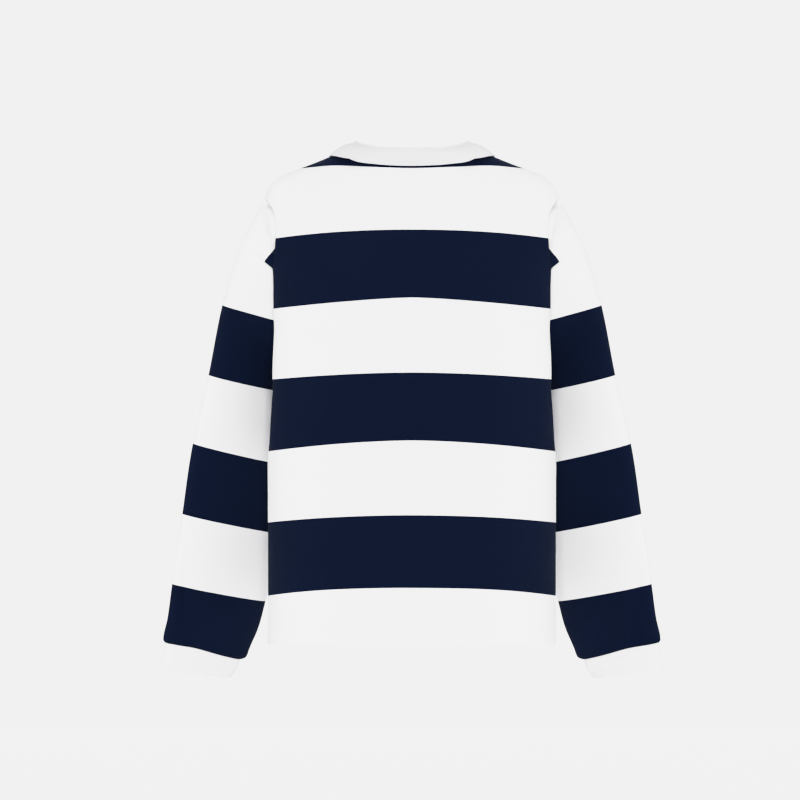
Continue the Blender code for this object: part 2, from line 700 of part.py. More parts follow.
def build():
    """Make every piece of the shirt."""
    for thing in list(bpy.data.objects):
        bpy.data.objects.remove(thing, do_unlink=True)
    group = bpy.data.collections.new(NAME)
    bpy.context.scene.collection.children.link(group)

    back_cloth = make_material("jersey_back", WHITE, 0.9)
    front_cloth = make_material("jersey_front", WHITE, 0.9)
    sleeve_cloth = make_material("jersey_sleeve", WHITE, 0.9)
    collar_cloth = make_material("collar_twill", WHITE, 0.85)
    cuff_cloth = make_material("cuff_rib", WHITE, 0.9)
    placket_cloth = make_material("placket_twill", WHITE, 0.85)
    button_rubber = make_material("button_rubber", RUBBER, 0.5)

    back_points, places = panel_grid(1)
    front_points, _ = panel_grid(-1)
    sheets = [
        Sheet("back", back_points, grid_faces(len(back_points), len(places))[:, ::-1], CLOTH_WALL, back_cloth),
        Sheet("front", front_points, front_faces(len(front_points), places, front_points), CLOTH_WALL,
              front_cloth),
    ]
    for word, sign in (("left", 1), ("right", -1)):
        for piece, rows, lengths, wall, cloth in (
                ("sleeve", SLEEVE_ROWS, SLEEVE_LENGTHS, CLOTH_WALL, sleeve_cloth),
                ("cuff", CUFF_ROWS, 3, CUFF_WALL, cuff_cloth)):
            points = tube_grid(rows, lengths) * np.array([sign, 1, 1])
            faces = grid_faces(*points.shape[:2], closed=True)
            if sign > 0:
                faces = faces[:, ::-1]
            sheets.append(Sheet(f"{piece}_{word}", points, faces, wall, cloth))
    collar_points = collar_grid()
    sheets.append(Sheet("collar", collar_points, grid_faces(*collar_points.shape[:2])[:, ::-1], COLLAR_WALL,
                        collar_cloth))
    join_seams(sheets)
    for sheet in sheets:
        add_wall(sheet, group)
    strip_on_front("placket_over", True, placket_cloth, group)
    strip_on_front("placket_under", False, placket_cloth, group)
    for index, height in enumerate(BUTTON_HEIGHTS, start=1):
        add_button(f"button_{index}", height, button_rubber, group)
    outward(group)


build()
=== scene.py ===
"""Looks of a long-sleeved rugby shirt, filled out as it is worn and hollow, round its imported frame.

Every cloth piece is a thin wall on a fine grid.  The body has the solids' own sizes and formulas: two
panels that round over to dropped shoulders.  The sleeves, swept between section tables, the ribbed
cuffs and the folded collar start from the solids' tables, with some rows a few millimetres off
theirs, and the placket strips and buttons lie on the front.  A drape fold, soft creases, seam
grooves and hem turns move the outer face, stitches are small threads laid along the seams, and the
stripes are a value stored at every point.

Axes: +Z is up, the wearer faces -Y and +X is the wearer's left.  Lengths are in metres.
"""

import logging
import math
from dataclasses import dataclass, field
from enum import Enum
from typing import Dict, List, Optional, Sequence, Tuple, Union

import bpy
import numpy as np
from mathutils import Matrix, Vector


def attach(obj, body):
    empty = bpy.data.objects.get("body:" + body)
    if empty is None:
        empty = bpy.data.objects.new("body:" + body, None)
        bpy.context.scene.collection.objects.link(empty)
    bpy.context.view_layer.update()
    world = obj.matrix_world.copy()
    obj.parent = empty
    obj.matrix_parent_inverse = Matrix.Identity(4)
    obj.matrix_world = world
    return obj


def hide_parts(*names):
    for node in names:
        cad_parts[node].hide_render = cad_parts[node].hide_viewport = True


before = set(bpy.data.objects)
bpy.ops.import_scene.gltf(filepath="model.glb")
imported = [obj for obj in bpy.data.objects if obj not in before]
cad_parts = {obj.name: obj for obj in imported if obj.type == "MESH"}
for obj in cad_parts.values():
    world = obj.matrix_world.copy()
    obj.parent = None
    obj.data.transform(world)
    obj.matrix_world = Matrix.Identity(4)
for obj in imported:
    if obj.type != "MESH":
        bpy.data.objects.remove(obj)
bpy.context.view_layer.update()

LOG = logging.getLogger("rugby_shirt")
Array = np.ndarray
Table = Tuple[Tuple[float, ...], ...]
CAMERA_DISTANCE = 15.0
VIEW_HEIGHT = 1.128
VIEW_CENTRE = (0.0168, -0.3560)
HANDS = (("left", 1), ("right", -1))
MIRROR = np.array([-1.0, 1.0, 1.0])


# ------------------------------------------------------------------ curves and grids
def ease(value: Array) -> Array:
    """Ramp from 0 to 1 with level ends, flat outside that range: 3v^2 - 2v^3."""
    value = np.clip(value, 0.0, 1.0)
    return value * value * (3.0 - 2.0 * value)


def bell(value: Array) -> Array:
    """Soft hump of height one round zero: e to the minus value squared."""
    return np.exp(-(value ** 2))


def ramp(value: Array, start: float, width: float) -> Array:
    """Ease from 0 at the start to 1 one width further on."""
    return ease((value - start) / width)


def unit(vectors: Array) -> Array:
    """Vectors scaled to a length of one."""
    return vectors / (np.linalg.norm(vectors, axis=-1, keepdims=True) + 1e-12)


def curve_through(knots: Array, values: Array, at: Array) -> Array:
    """Smooth curve through a table's values: cubic pieces whose slopes come from the neighbours.

    Args:
        knots: rising places where the values stand.
        values: one value or point for each knot.
        at: places where the curve is wanted.

    Returns:
        The values there.
    """
    values = np.asarray(values, float)
    slopes = np.gradient(values, knots, axis=0)
    at = np.clip(at, knots[0], knots[-1])
    cell = np.clip(np.searchsorted(knots, at, side="right") - 1, 0, len(knots) - 2)
    width = knots[cell + 1] - knots[cell]
    step = (at - knots[cell]) / width
    if values.ndim > 1:
        width = width[..., None]
        step = step[..., None]
    start_weight = 1 - step ** 2 * (3 - 2 * step)
    slope_out = step * (1 - step) ** 2 * width
    slope_in = -(step ** 2) * (1 - step) * width
    return (values[cell] * start_weight + values[cell + 1] * (1 - start_weight)
            + slopes[cell] * slope_out + slopes[cell + 1] * slope_in)


def grid_normals(points: Array, closed: bool, flip: bool = False) -> Array:
    """Outward directions of a grid: the step across crossed with the step down, by central differences.

    Args:
        points: grid of points, rows by columns by three.
        closed: True where the last column meets the first.
        flip: True where that product points inward and is turned round.

    Returns:
        A unit vector for each point.
    """
    down = np.gradient(points, axis=0)
    if closed:
        across = np.roll(points, -1, axis=1) - np.roll(points, 1, axis=1)
    else:
        across = np.gradient(points, axis=1)
    normals = unit(np.cross(across, down))
    return -normals if flip else normals


def relax(points: Array, weight: Array, passes: int) -> Array:
    """Smooth a grid along its own normals: each inner point moves toward its neighbours' mean.

    Args:
        points: grid of points.
        weight: how much of that move each point takes, 0 to 1.
        passes: how often.

    Returns:
        The smoothed grid, its border unmoved.
    """
    points = points.copy()
    weight = weight[1:-1, 1:-1, None]
    for _ in range(passes):
        mean = 0.25 * (points[:-2, 1:-1] + points[2:, 1:-1] + points[1:-1, :-2] + points[1:-1, 2:])
        move = mean - points[1:-1, 1:-1]
        normal = grid_normals(points, False)[1:-1, 1:-1]
        points[1:-1, 1:-1] += 0.8 * weight * np.sum(move * normal, axis=-1, keepdims=True) * normal
    return points


def lengths_along(points: Array, axis: int) -> Array:
    """Distance of each grid point from its line's first point, along that line: a sum of steps.

    Args:
        points: grid of points.
        axis: 0 for lines down the grid and 1 for lines across it.

    Returns:
        The distances.
    """
    steps = np.linalg.norm(np.diff(points, axis=axis), axis=-1)
    start = np.zeros_like(np.take(steps, [0], axis=axis))
    return np.concatenate([start, np.cumsum(steps, axis=axis)], axis=axis)


def from_sides(points: Array) -> Array:
    """Distance of each grid point from the nearer end of its row, along the row."""
    side = lengths_along(points, 1)
    return np.minimum(side, side[:, -1:] - side)


def both_halves(half: Array) -> Array:
    """Half a grid, from the middle column outward, with its mirror image set before it."""
    return np.concatenate([half[:, :0:-1] * MIRROR, half], axis=1)


def swept(rows: Table, along: Array) -> Tuple[Array, Array, Array]:
    """Sections of a tube between the rows of a table, as smooth curves through them.

    Args:
        rows: place along, outer point, inner point and half depth.
        along: places where sections are wanted.

    Returns:
        The outer point, the inner point and the half depth there.
    """
    table = np.array(rows)
    outer = curve_through(table[:, 0], table[:, 1:4], along)
    inner = curve_through(table[:, 0], table[:, 4:7], along)
    return outer, inner, curve_through(table[:, 0], table[:, 7], along)


def spaced(stops: Sequence[Tuple[float, int]]) -> Array:
    """Places from 0 on, evenly spaced inside each stretch.

    Args:
        stops: the end of each stretch and how many steps it has.

    Returns:
        The places, with 0 first.
    """
    places = [np.zeros(1)]
    last = 0.0
    for end, steps in stops:
        places.append(np.linspace(last, end, steps + 1)[1:])
        last = end
    return np.concatenate(places)


def wander(at: Array, seed: float, reach: float = 1.0) -> Array:
    """Slow uneven wave between about -1 and 1: three sines whose lengths don't repeat together.

    Args:
        at: places along the wave.
        seed: a number that sets one wave apart from another.
        reach: the length that stands for one unit of place.

    Returns:
        The wave there.
    """
    at = at / reach + seed * 7.31
    long_wave = np.sin(at * 2.1 + seed)
    middle_wave = 0.6 * np.sin(at * 4.7 + 2.3 * seed)
    short_wave = 0.4 * np.sin(at * 9.1 + 4.1 * seed)
    return (long_wave + middle_wave + short_wave) / 2.0


# ------------------------------------------------------------------ meshes
@dataclass
class Cloth:
    """Outer face of a cloth piece on a grid, ready to be given its wall."""

    name: str
    points: Array
    closed: bool
    flip: bool
    wall: float
    stripe: Optional[Array] = None
    relief: Optional[Array] = None
    # row whose widths all others take, so that the knitted ribs follow the columns
    width_row: Optional[int] = None
    # inner face, where it isn't simply one wall inside the outer one
    inner: Optional[Array] = None

    def uv(self) -> Array:
        """Flat place of each grid point in metres: arc length across and along.

        Returns:
            Rows by columns by two, zero across in the middle column.
        """
        across = lengths_along(self.points, 1)
        middle = across.shape[1] // 2
        across = across - across[:, middle:middle + 1]
        if self.width_row is not None:
            across = np.broadcast_to(across[self.width_row], across.shape)
        along = lengths_along(self.points, 0)
        return np.stack([across, along], axis=-1)

    def build(self, material: bpy.types.Material) -> bpy.types.Object:
        """Make the closed wall: outer face, inner face, and a rim between them on each border.

        Args:
            material: its finish.

        Returns:
            The new object.
        """
        rows, columns = self.points.shape[:2]
        normals = grid_normals(self.points, self.closed, self.flip)
        outer = self.points if self.relief is None else self.points + normals * self.relief[..., None]
        inner = self.points - normals * self.wall if self.inner is None else self.inner
        count = rows * columns
        number = np.arange(count).reshape(rows, columns)
        ahead = np.roll(number, -1, axis=1) if self.closed else number[:, 1:]
        here = number if self.closed else number[:, :-1]
        quads = np.stack([here[:-1], ahead[:-1], ahead[1:], here[1:]], axis=-1).reshape(-1, 4)
        rims = [np.stack([ahead[0], here[0], here[0] + count, ahead[0] + count], axis=-1),
                np.stack([here[-1], ahead[-1], ahead[-1] + count, here[-1] + count], axis=-1)]
        if not self.closed:
            first, last = number[:, 0], number[:, -1]
            rims.append(np.stack([first[:-1], first[1:], first[1:] + count, first[:-1] + count], axis=-1))
            rims.append(np.stack([last[1:], last[:-1], last[:-1] + count, last[1:] + count], axis=-1))
        faces = np.concatenate([quads, quads[:, ::-1] + count, *rims])
        if self.flip:
            faces = faces[:, ::-1]
        points = np.concatenate([outer.reshape(-1, 3), inner.reshape(-1, 3)])
        flat = self.uv().reshape(-1, 2)
        return make_mesh(self.name, points, faces, material, np.concatenate([flat, flat]),
                         None if self.stripe is None else np.tile(self.stripe.ravel(), 2))


def make_mesh(name: str, points: Array, faces: Array, material: bpy.types.Material,
              flat: Optional[Array] = None, stripe: Optional[Array] = None) -> bpy.types.Object:
    """Mesh object from arrays of points and of faces with equal numbers of corners.

    Args:
        name: the object's name.
        points: one row for each point.
        faces: one row of point numbers for each face.
        material: its finish.
        flat: UV place of each point, in metres.
        stripe: stripe value of each point.

    Returns:
        The new object, linked to the scene.
    """
    mesh = bpy.data.meshes.new(name)
    count, corners = faces.shape
    mesh.vertices.add(len(points))
    mesh.vertices.foreach_set("co", np.asarray(points, np.float32).ravel())
    mesh.loops.add(count * corners)
    mesh.loops.foreach_set("vertex_index", np.asarray(faces, np.int32).ravel())
    mesh.polygons.add(count)
    mesh.polygons.foreach_set("loop_start", np.arange(0, count * corners, corners, dtype=np.int32))
    mesh.update(calc_edges=True)
    mesh.validate()
    mesh.polygons.foreach_set("use_smooth", np.ones(len(mesh.polygons), bool))
    mesh.set_sharp_from_angle(angle=math.radians(62.0))
    if flat is not None:
        layer = mesh.uv_layers.new(name="UVMap")
        order = np.zeros(len(mesh.loops), np.int32)
        mesh.loops.foreach_get("vertex_index", order)
        layer.data.foreach_set("uv", np.asarray(flat[order], np.float32).ravel())
    if stripe is not None:
        attribute = mesh.attributes.new("stripe", "FLOAT", "POINT")
        attribute.data.foreach_set("value", np.asarray(stripe, np.float32))
    mesh.materials.append(material)
    thing = bpy.data.objects.new(name, mesh)
    bpy.context.scene.collection.objects.link(thing)
    return thing


def dress(thing: bpy.types.Object, nodes: Sequence[str] = ()) -> bpy.types.Object:
    """Hang a piece on the frame's root and hide the solids that it stands for.

    Args:
        thing: the piece.
        nodes: the solids that it replaces.

    Returns:
        The same piece.
    """
    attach(thing, "root")
    if nodes:
        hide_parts(*nodes)
    LOG.info("%s: %d points, %d faces", thing.name, len(thing.data.vertices), len(thing.data.polygons))
    return thing


# ------------------------------------------------------------------ materials
class Value:
    """A socket in a material that adds a Math node for each operation done with it."""

    def __init__(self, tree: "Tree", socket: bpy.types.NodeSocket) -> None:
        """Wrap one output socket of a tree."""
        self.tree = tree
        self.socket = socket

    def math(self, operation: str, *others: Union["Value", float], flip: bool = False) -> "Value":
        """Add a Math node.

        Args:
            operation: what it does.
            others: its further values.
            flip: True to give it all values in reverse order.

        Returns:
            The node's result.
        """
        values = [self, *others]
        if flip:
            values.reverse()
        node = self.tree.node("ShaderNodeMath", {"operation": operation}, dict(enumerate(values)))
        return Value(self.tree, node.outputs[0])

    def __add__(self, other: Union["Value", float]) -> "Value":
        """Sum."""
        return self.math("ADD", other)

    __radd__ = __add__

    def __mul__(self, other: Union["Value", float]) -> "Value":
        """Product."""
        return self.math("MULTIPLY", other)

    __rmul__ = __mul__

    def __sub__(self, other: Union["Value", float]) -> "Value":
        """Difference."""
        return self.math("SUBTRACT", other)

    def __rsub__(self, other: float) -> "Value":
        """Difference from a number."""
        return self.math("SUBTRACT", other, flip=True)

    def __gt__(self, other: Union["Value", float]) -> "Value":
        """One where this value is greater, zero elsewhere."""
        return self.math("GREATER_THAN", other)

    def __mod__(self, period: float) -> "Value":
        """Remainder, never negative."""
        return self.math("FLOORED_MODULO", period)

    def __abs__(self) -> "Value":
        """Value without its sign."""
        return self.math("ABSOLUTE")

    def sine(self) -> "Value":
        """Sine of this angle in radians."""
        return self.math("SINE")


class Tree:
    """Node tree of one material."""

    def __init__(self, name: str) -> None:
        """Make a material that holds only its output and a Principled shader.

        Args:
            name: the material's name.
        """
        self.material = bpy.data.materials.new(name)
        self.material.use_nodes = True
        self.nodes = self.material.node_tree.nodes
        self.links = self.material.node_tree.links
        self.shader = self.nodes["Principled BSDF"]

    def node(self, kind: str, settings: Dict[str, object],
             inputs: Dict[Union[int, str], object]) -> bpy.types.Node:
        """Add a node.

        Args:
            kind: the node's type.
            settings: its properties, set before its sockets.
            inputs: socket names or numbers and what each gets: a Value, a socket or a constant.

        Returns:
            The node.
        """
        node = self.nodes.new(kind)
        for key, setting in settings.items():
            setattr(node, key, setting)
        for key, given in inputs.items():
            self.set(node.inputs[key], given)
        return node

    def set(self, socket: bpy.types.NodeSocket, given: object) -> None:
        """Give a socket a link or a constant.

        Args:
            socket: the input socket.
            given: a Value, a socket or a constant.
        """
        if isinstance(given, Value):
            given = given.socket
        if isinstance(given, bpy.types.NodeSocket):
            self.links.new(given, socket)
        else:
            socket.default_value = given

    def mix(self, share: Union[Value, float], first: object, second: object) -> bpy.types.NodeSocket:
        """Colour between two colours."""
        node = self.node("ShaderNodeMix", {"data_type": "RGBA"}, {0: share, 6: first, 7: second})
        return node.outputs[2]

    def noise(self, place: bpy.types.NodeSocket, scale: float, detail: float) -> Value:
        """Cloudy value from 0 to 1 at a place."""
        node = self.node("ShaderNodeTexNoise", {}, {"Vector": place, "Scale": scale, "Detail": detail})
        return Value(self, node.outputs["Fac"])

    def flat_place(self) -> Tuple[Value, Value]:
        """The cloth's own place in metres.

        Returns:
            The place across and the place along.
        """
        flat = self.node("ShaderNodeUVMap", {"uv_map": "UVMap"}, {})
        parts = self.node("ShaderNodeSeparateXYZ", {}, {0: flat.outputs[0]})
        return Value(self, parts.outputs[0]), Value(self, parts.outputs[1])

    def object_place(self) -> bpy.types.NodeSocket:
        """The place on the object."""
        return self.node("ShaderNodeTexCoord", {}, {}).outputs["Object"]

    def bump(self, height: Value, distance: float, strength: float) -> None:
        """Raise the surface by a height, as seen in its shading."""
        node = self.node("ShaderNodeBump", {}, {"Height": height, "Distance": distance, "Strength": strength})
        self.links.new(node.outputs[0], self.shader.inputs["Normal"])


class Weave(Enum):
    """How a cloth is made."""

    JERSEY = "jersey"
    RIB = "rib"
    TWILL = "twill"


@dataclass(frozen=True)
class ClothFinish:
    """Finish of a cotton cloth."""

    name: str
    weave: Weave
    colour: Tuple[float, float, float]
    shade: Tuple[float, float, float]
    stripe: Tuple[float, float, float] = (0.0015, 0.0040, 0.0144)
    pitch: float = 0.0016
    relief: float = 0.00040
    strength: float = 0.70
    roughness: float = 0.92
    gloss: float = 0.04
    cloud_scale: float = 9.0
    speck_scale: float = 900.0
    # how unevenly a stripe's edge is knitted, as a share of a stripe
    ragged: float = 0.004

    def height(self, tree: Tree) -> Value:
        """Relief of the cloth from its own flat place.

        Jersey is ribs of slanted loops, half of each rib slanting one way and half the other.  Rib
        is close upright ridges.  Twill is fine slanted cords.

        Args:
            tree: the material's tree.

        Returns:
            A height from 0 to 1.
        """
        across, along = tree.flat_place()
        turn = math.pi / self.pitch
        if self.weave is Weave.TWILL:
            return ((across + along * 1.3) * (turn * 2.0)).sine() * 0.5 + 0.5
        ridge = abs((across * turn).sine())
        slant = abs((across * (1.0 / self.pitch)) % 1.0 - 0.5)
        loops = (along * (turn * 2.6) + slant * 5.0).sine() * 0.5 + 0.5
        if self.weave is Weave.RIB:
            return ridge * (loops * 0.25 + 0.75)
        return ridge * (loops * 0.5 + 0.5)

    def material(self, striped: bool) -> bpy.types.Material:
        """Make the material.

        Args:
            striped: True where the navy stripes are knitted in.

        Returns:
            The material.
        """
        tree = Tree(self.name)
        place = tree.object_place()
        cloud = tree.noise(place, self.cloud_scale, 3.0)
        speck = tree.noise(place, self.speck_scale, 2.0)
        colour = tree.mix(cloud * 0.5 + speck * 0.3, (*self.shade, 1.0), (*self.colour, 1.0))
        if striped:
            stripe = tree.node("ShaderNodeAttribute", {"attribute_name": "stripe"}, {})
            level = Value(tree, stripe.outputs["Fac"]) + (speck - 0.5) * self.ragged
            navy = (level % 2.0) > 1.0
            deep = (*[0.72 * part for part in self.stripe], 1.0)
            faded = (*[1.25 * part for part in self.stripe], 1.0)
            dark = tree.mix(cloud * 0.6 + speck * 0.4, deep, faded)
            colour = tree.mix(navy, colour, dark)
        tree.set(tree.shader.inputs["Base Color"], colour)
        tree.shader.inputs["Roughness"].default_value = self.roughness
        tree.shader.inputs["Specular IOR Level"].default_value = self.gloss
        tree.shader.inputs["Metallic"].default_value = 0.0
        tree.bump(self.height(tree), self.relief, self.strength)
        return tree.material


@dataclass(frozen=True)
class PlainFinish:
    """Finish of one smooth stuff, such as rubber or thread."""

    name: str
    colour: Tuple[float, float, float]
    roughness: float
    gloss: float

    def material(self) -> bpy.types.Material:
        """Make the material, its colour and roughness a little cloudy.

        Returns:
            The material.
        """
        tree = Tree(self.name)
        cloud = tree.noise(tree.object_place(), 300.0, 2.0)
        dim = (*[0.94 * part for part in self.colour], 1.0)
        tree.set(tree.shader.inputs["Base Color"], tree.mix(cloud, dim, (*self.colour, 1.0)))
        tree.set(tree.shader.inputs["Roughness"], cloud * 0.08 + (self.roughness - 0.04))
        tree.shader.inputs["Specular IOR Level"].default_value = self.gloss
        return tree.material


# ------------------------------------------------------------------ the shirt's form
@dataclass
class ShirtForm:
    """Sizes of the body and its armhole seam: the solids' own, and the kick where the fold meets the seam."""

    hem: float = -0.700
    armpit: float = -0.290
    armpit_rise: float = 0.012
    half_width: float = 0.2030
    side_line: float = -0.005
    back_depth: float = 0.128
    back_hollow: float = 0.014
    front_depth: float = 0.136
    back_squareness: float = 2.5
    front_squareness: float = 2.0
    back_rounding: float = 2.2
    front_rounding: float = 1.55
    edge_zone: float = 0.76
    neck_half: float = 0.088
    neck_back: float = 0.060
    neck_front: float = 0.088
    neck_crest: float = 0.010
    neck_share: float = 0.42
    shoulder_forward: float = 0.012
    shoulder: Table = (
        (0.0880, 0.0000), (0.1150, -0.0120), (0.1540, -0.0288), (0.1770, -0.0352), (0.1910, -0.0415),
        (0.2000, -0.0535), (0.2080, -0.0705), (0.2250, -0.1030), (0.2417, -0.1340),
    )
    shoulder_end: Tuple[float, float, float] = (0.2417, -0.0120, -0.1340)
    underarm: Tuple[float, float, float] = (0.1720, -0.0550, -0.2900)
    ring_reach: Tuple[float, float, float] = (-0.004, 0.045, 0.0)
    ring_bend: Tuple[float, float, float] = (-0.0285, 0.010, 0.0)
    # kick of the armhole seam, the turn round it where that is, and its spread
    ring_kick: Tuple[float, float, float] = (0.0026, 0.0, 0.0)
    kick_turn: float = 0.85
    kick_spread: float = 0.13
    bend_lean: float = 0.6
    ridge_low: float = 0.86
    ridge_high: float = 0.80
    fold_width: float = 0.075
    fold_depth: float = 0.004
    # rise where that hollow starts and the span over which it lasts, and where it fades by the armhole
    hollow_foot: float = 0.12
    hollow_span: float = 0.78
    hollow_fade: Tuple[float, float] = (0.92, 0.08)
    # height at which the drape fold's end pulls on the armhole seam, its spread and how much harder
    pull_height: float = -0.148
    pull_spread: float = 0.014
    pull_more: float = 0.9
    # height over which the seams' pull turns from the armhole's to the side's and the shoulder's
    pull_turn: float = 0.03
    # share of a panel's half where each move toward the underarm starts, and over how much it grows
    back_tuck: Tuple[float, float] = (0.83, 0.14)
    back_forward: Tuple[float, float] = (0.76, 0.22)
    front_tuck: Tuple[float, float] = (0.50, 0.50)
    front_forward: Tuple[float, float] = (0.55, 0.45)

    def ring_bow(self, turn: Array) -> Array:
        """How far the armhole seam is off its ellipse at a turn.

        It is bent inward by sine squared, leaning to the upper half, and kicks out a little where the
        drape fold's cloth meets it.

        Args:
            turn: 0 at the shoulder end and half a turn at the underarm.

        Returns:
            The move at each turn.
        """
        weight = np.sin(turn) ** 2 * (1 + self.bend_lean * np.cos(turn))
        kick = bell((turn - self.kick_turn) / self.kick_spread)
        return np.array(self.ring_bend) * weight + np.array(self.ring_kick) * kick

    def seam_pull(self, points: Array) -> Array:
        """Direction in which the seams round a point draw the cloth in.

        Beside an armhole that is toward the ring's middle.  It turns toward the body's middle along the
        side seams and downward along the shoulders, and is stronger where the drape fold ends.

        Args:
            points: points by the seams.

        Returns:
            A vector of about unit length for each point, the same for every piece that meets there.
        """
        hand = np.where(points[..., 0] < 0, -1.0, 1.0)
        level = np.zeros_like(hand)
        middle = (np.array(self.shoulder_end) + np.array(self.underarm)) / 2
        ring = unit(middle * np.stack([hand, level + 1, level + 1], axis=-1) - points)
        height = points[..., 2:]
        below = ease((self.underarm[2] - height) / self.pull_turn)
        above = ease((height - self.shoulder_end[2]) / self.pull_turn)
        aside = np.stack([-hand, level, level], axis=-1)
        down = np.stack([level, level, level - 1], axis=-1)
        stronger = 1 + self.pull_more * bell((height - self.pull_height) / self.pull_spread)
        return stronger * unit(ring * (1 - below) * (1 - above) + aside * below + down * above)

    def armhole(self, turn: Array) -> Array:
        """Armhole seam: an ellipse from the shoulder end round behind to the underarm, bent inward.

        Args:
            turn: 0 at the shoulder end, half a turn at the underarm, negative in front.

        Returns:
            The points.
        """
        turn = np.asarray(turn)[..., None]
        top = np.array(self.shoulder_end)
        foot = np.array(self.underarm)
        return ((top + foot) / 2 + (top - foot) / 2 * np.cos(turn) + np.array(self.ring_reach) * np.sin(turn)
                + self.ring_bow(turn))

    def shoulder_line(self, across: Array) -> Array:
        """Shoulder seam, evenly spaced past the neck point and carried over the neck as a parabola.

        Args:
            across: 0 in the middle and 1 at the shoulder end.

        Returns:
            The points.
        """
        out, height = np.array(self.shoulder).T
        run = np.concatenate([[0.0], np.cumsum(np.hypot(np.diff(out), np.diff(height)))])
        share = self.neck_share
        along = np.clip((across - share) / (1 - share), 0.0, 1.0) * run[-1]
        inside = np.clip(across / share, 0.0, 1.0)
        x = np.where(across < share, inside * self.neck_half, curve_through(run, out, along))
        z = np.where(across < share, self.neck_crest * (1 - inside ** 2), curve_through(run, height, along))
        return np.stack([x, -self.shoulder_forward * along / run[-1], z], axis=-1)

    def tube(self, side: int, across: Array, rise: Array) -> Array:
        """Body below the armpits: a superellipse tube whose sides tuck in toward the underarm.

        Args:
            side: 1 for the back and -1 for the front.
            across: 0 in the middle and 1 at the side seam.
            rise: 0 at the hem and 1 at the armpit row.

        Returns:
            The points.
        """
        angle = across * math.pi / 2
        if side > 0:
            hollow = self.back_hollow * np.sin(math.pi * np.clip(1.15 - rise, 0, 1)) * np.cos(angle)
            depth = self.back_depth - hollow
            power = self.back_squareness
            tuck_share = ramp(across, *self.back_tuck)
            forward_share = ramp(across, *self.back_forward)
        else:
            depth = self.front_depth * (1 - 0.06 * (1 - rise))
            power = self.front_squareness
            tuck_share = ramp(across, *self.front_tuck)
            forward_share = ramp(across, *self.front_forward)
        reach = (np.abs(np.cos(angle) / depth) ** power
                 + np.abs(np.sin(angle) / self.half_width) ** power) ** (-1 / power)
        tuck = ease((rise - 0.60) / 0.40)
        x = reach * np.sin(angle) + (self.underarm[0] - self.half_width) * tuck * tuck_share
        y = (self.side_line + side * reach * np.cos(angle)
             + (self.underarm[1] - self.side_line) * tuck * forward_share)
        top = self.armpit + self.armpit_rise * (1 - across ** 2)
        return np.stack([x, y, self.hem + (top - self.hem) * rise], axis=-1)

    def rounded(self, side: int, across: Array, rise: Array) -> Array:
        """Body above the armpits: each column rounds over to the shoulder as a quarter superellipse.

        Args:
            side: 1 for the back and -1 for the front.
            across: 0 in the middle and 1 at the armhole.
            rise: 0 at the armpit row and 1 at the shoulder seam.

        Returns:
            The points.
        """
        start = self.tube(side, across, np.ones_like(rise))
        end = self.shoulder_line(across)
        level = 2 / math.pi * np.arcsin((1 - np.cos(math.pi * rise)) / 2)
        turn = (rise + ease((across - 0.70) / 0.30) * (level - rise)) * math.pi / 2
        power = self.back_rounding
        if side < 0:
            power = self.front_rounding + (self.back_rounding - self.front_rounding) * across
        lift = np.sin(turn) ** (2 / power)
        fall = np.cos(turn) ** (2 / power)
        x = start[..., 0] + (end[..., 0] - start[..., 0]) * lift ** 2
        y = end[..., 1] + (start[..., 1] - end[..., 1]) * fall
        z = start[..., 2] + (end[..., 2] - start[..., 2]) * lift
        return np.stack([x, y, z], axis=-1)

    def yoke(self, side: int, across: Array, rise: Array) -> Array:
        """Body above the armpits, drawn onto the armhole seam, with the hollow of its drape fold behind.

        Args:
            side: 1 for the back and -1 for the front.
            across: 0 in the middle and 1 at the armhole.
            rise: 0 at the armpit row and 1 at the shoulder seam.

        Returns:
            The points.
        """
        points = self.rounded(side, across, rise)
        edge = ease((across - self.edge_zone) / (1 - self.edge_zone))[..., None]
        points = points + edge * (self.armhole(side * math.pi * (1 - rise))
                                  - self.rounded(side, np.ones_like(rise), rise))
        if side > 0:
            ridge = self.ridge_low + (self.ridge_high - self.ridge_low) * rise
            place = (across - ridge) / self.fold_width
            lasting = np.clip((rise - self.hollow_foot) / self.hollow_span, 0, 1)
            strength = self.fold_depth * np.sin(math.pi * lasting)
            strength = strength * (1 - ramp(across, *self.hollow_fade))
            dip = strength * bell((place - 1.0) / 0.7)
            crest = 0.25 * strength * bell(place / 0.8)
            points = points + np.stack([crest - dip, 0.5 * crest - 0.7 * dip, 0 * dip], axis=-1)
        return points

    def body(self, side: int, across: Array, rise: Array) -> Array:
        """Points of a body panel: the tube up to the armpits and the yoke above them.

        Args:
            side: 1 for the back and -1 for the front.
            across: 0 in the middle and 1 at the side seam or armhole.
            rise: 0 at the hem, 1 at the armpits and 2 at the shoulder seam.

        Returns:
            The points.
        """
        across, rise = np.broadcast_arrays(across, rise)
        low = self.tube(side, across, np.clip(rise, 0, 1))
        high = self.yoke(side, across, np.clip(rise - 1, 0, 1))
        return np.where(rise[..., None] <= 1, low, high)

    def neck_rise(self, side: int, across: Array) -> Array:
        """Rise at which each column meets the neck cut, an ellipse seen from above, and 2 past it.

        Args:
            side: 1 for the back and -1 for the front.
            across: the place of each column.

        Returns:
            The rises.
        """
        depth = self.neck_back if side > 0 else self.neck_front
        trial = np.linspace(1.0, 2.0, 801)[:, None]
        points = self.body(side, across[None, :], trial)
        outside = (points[..., 0] / self.neck_half) ** 2 + (points[..., 1] / depth) ** 2 - 1
        first = np.clip(np.argmax(outside < 0, axis=0), 1, None)
        column = np.arange(len(across))
        before, after = outside[first - 1, column], outside[first, column]
        tops = trial[first - 1, 0] + before / (before - after) * (trial[1, 0] - trial[0, 0])
        return np.where(across < self.neck_share - 1e-6, tops, 2.0)


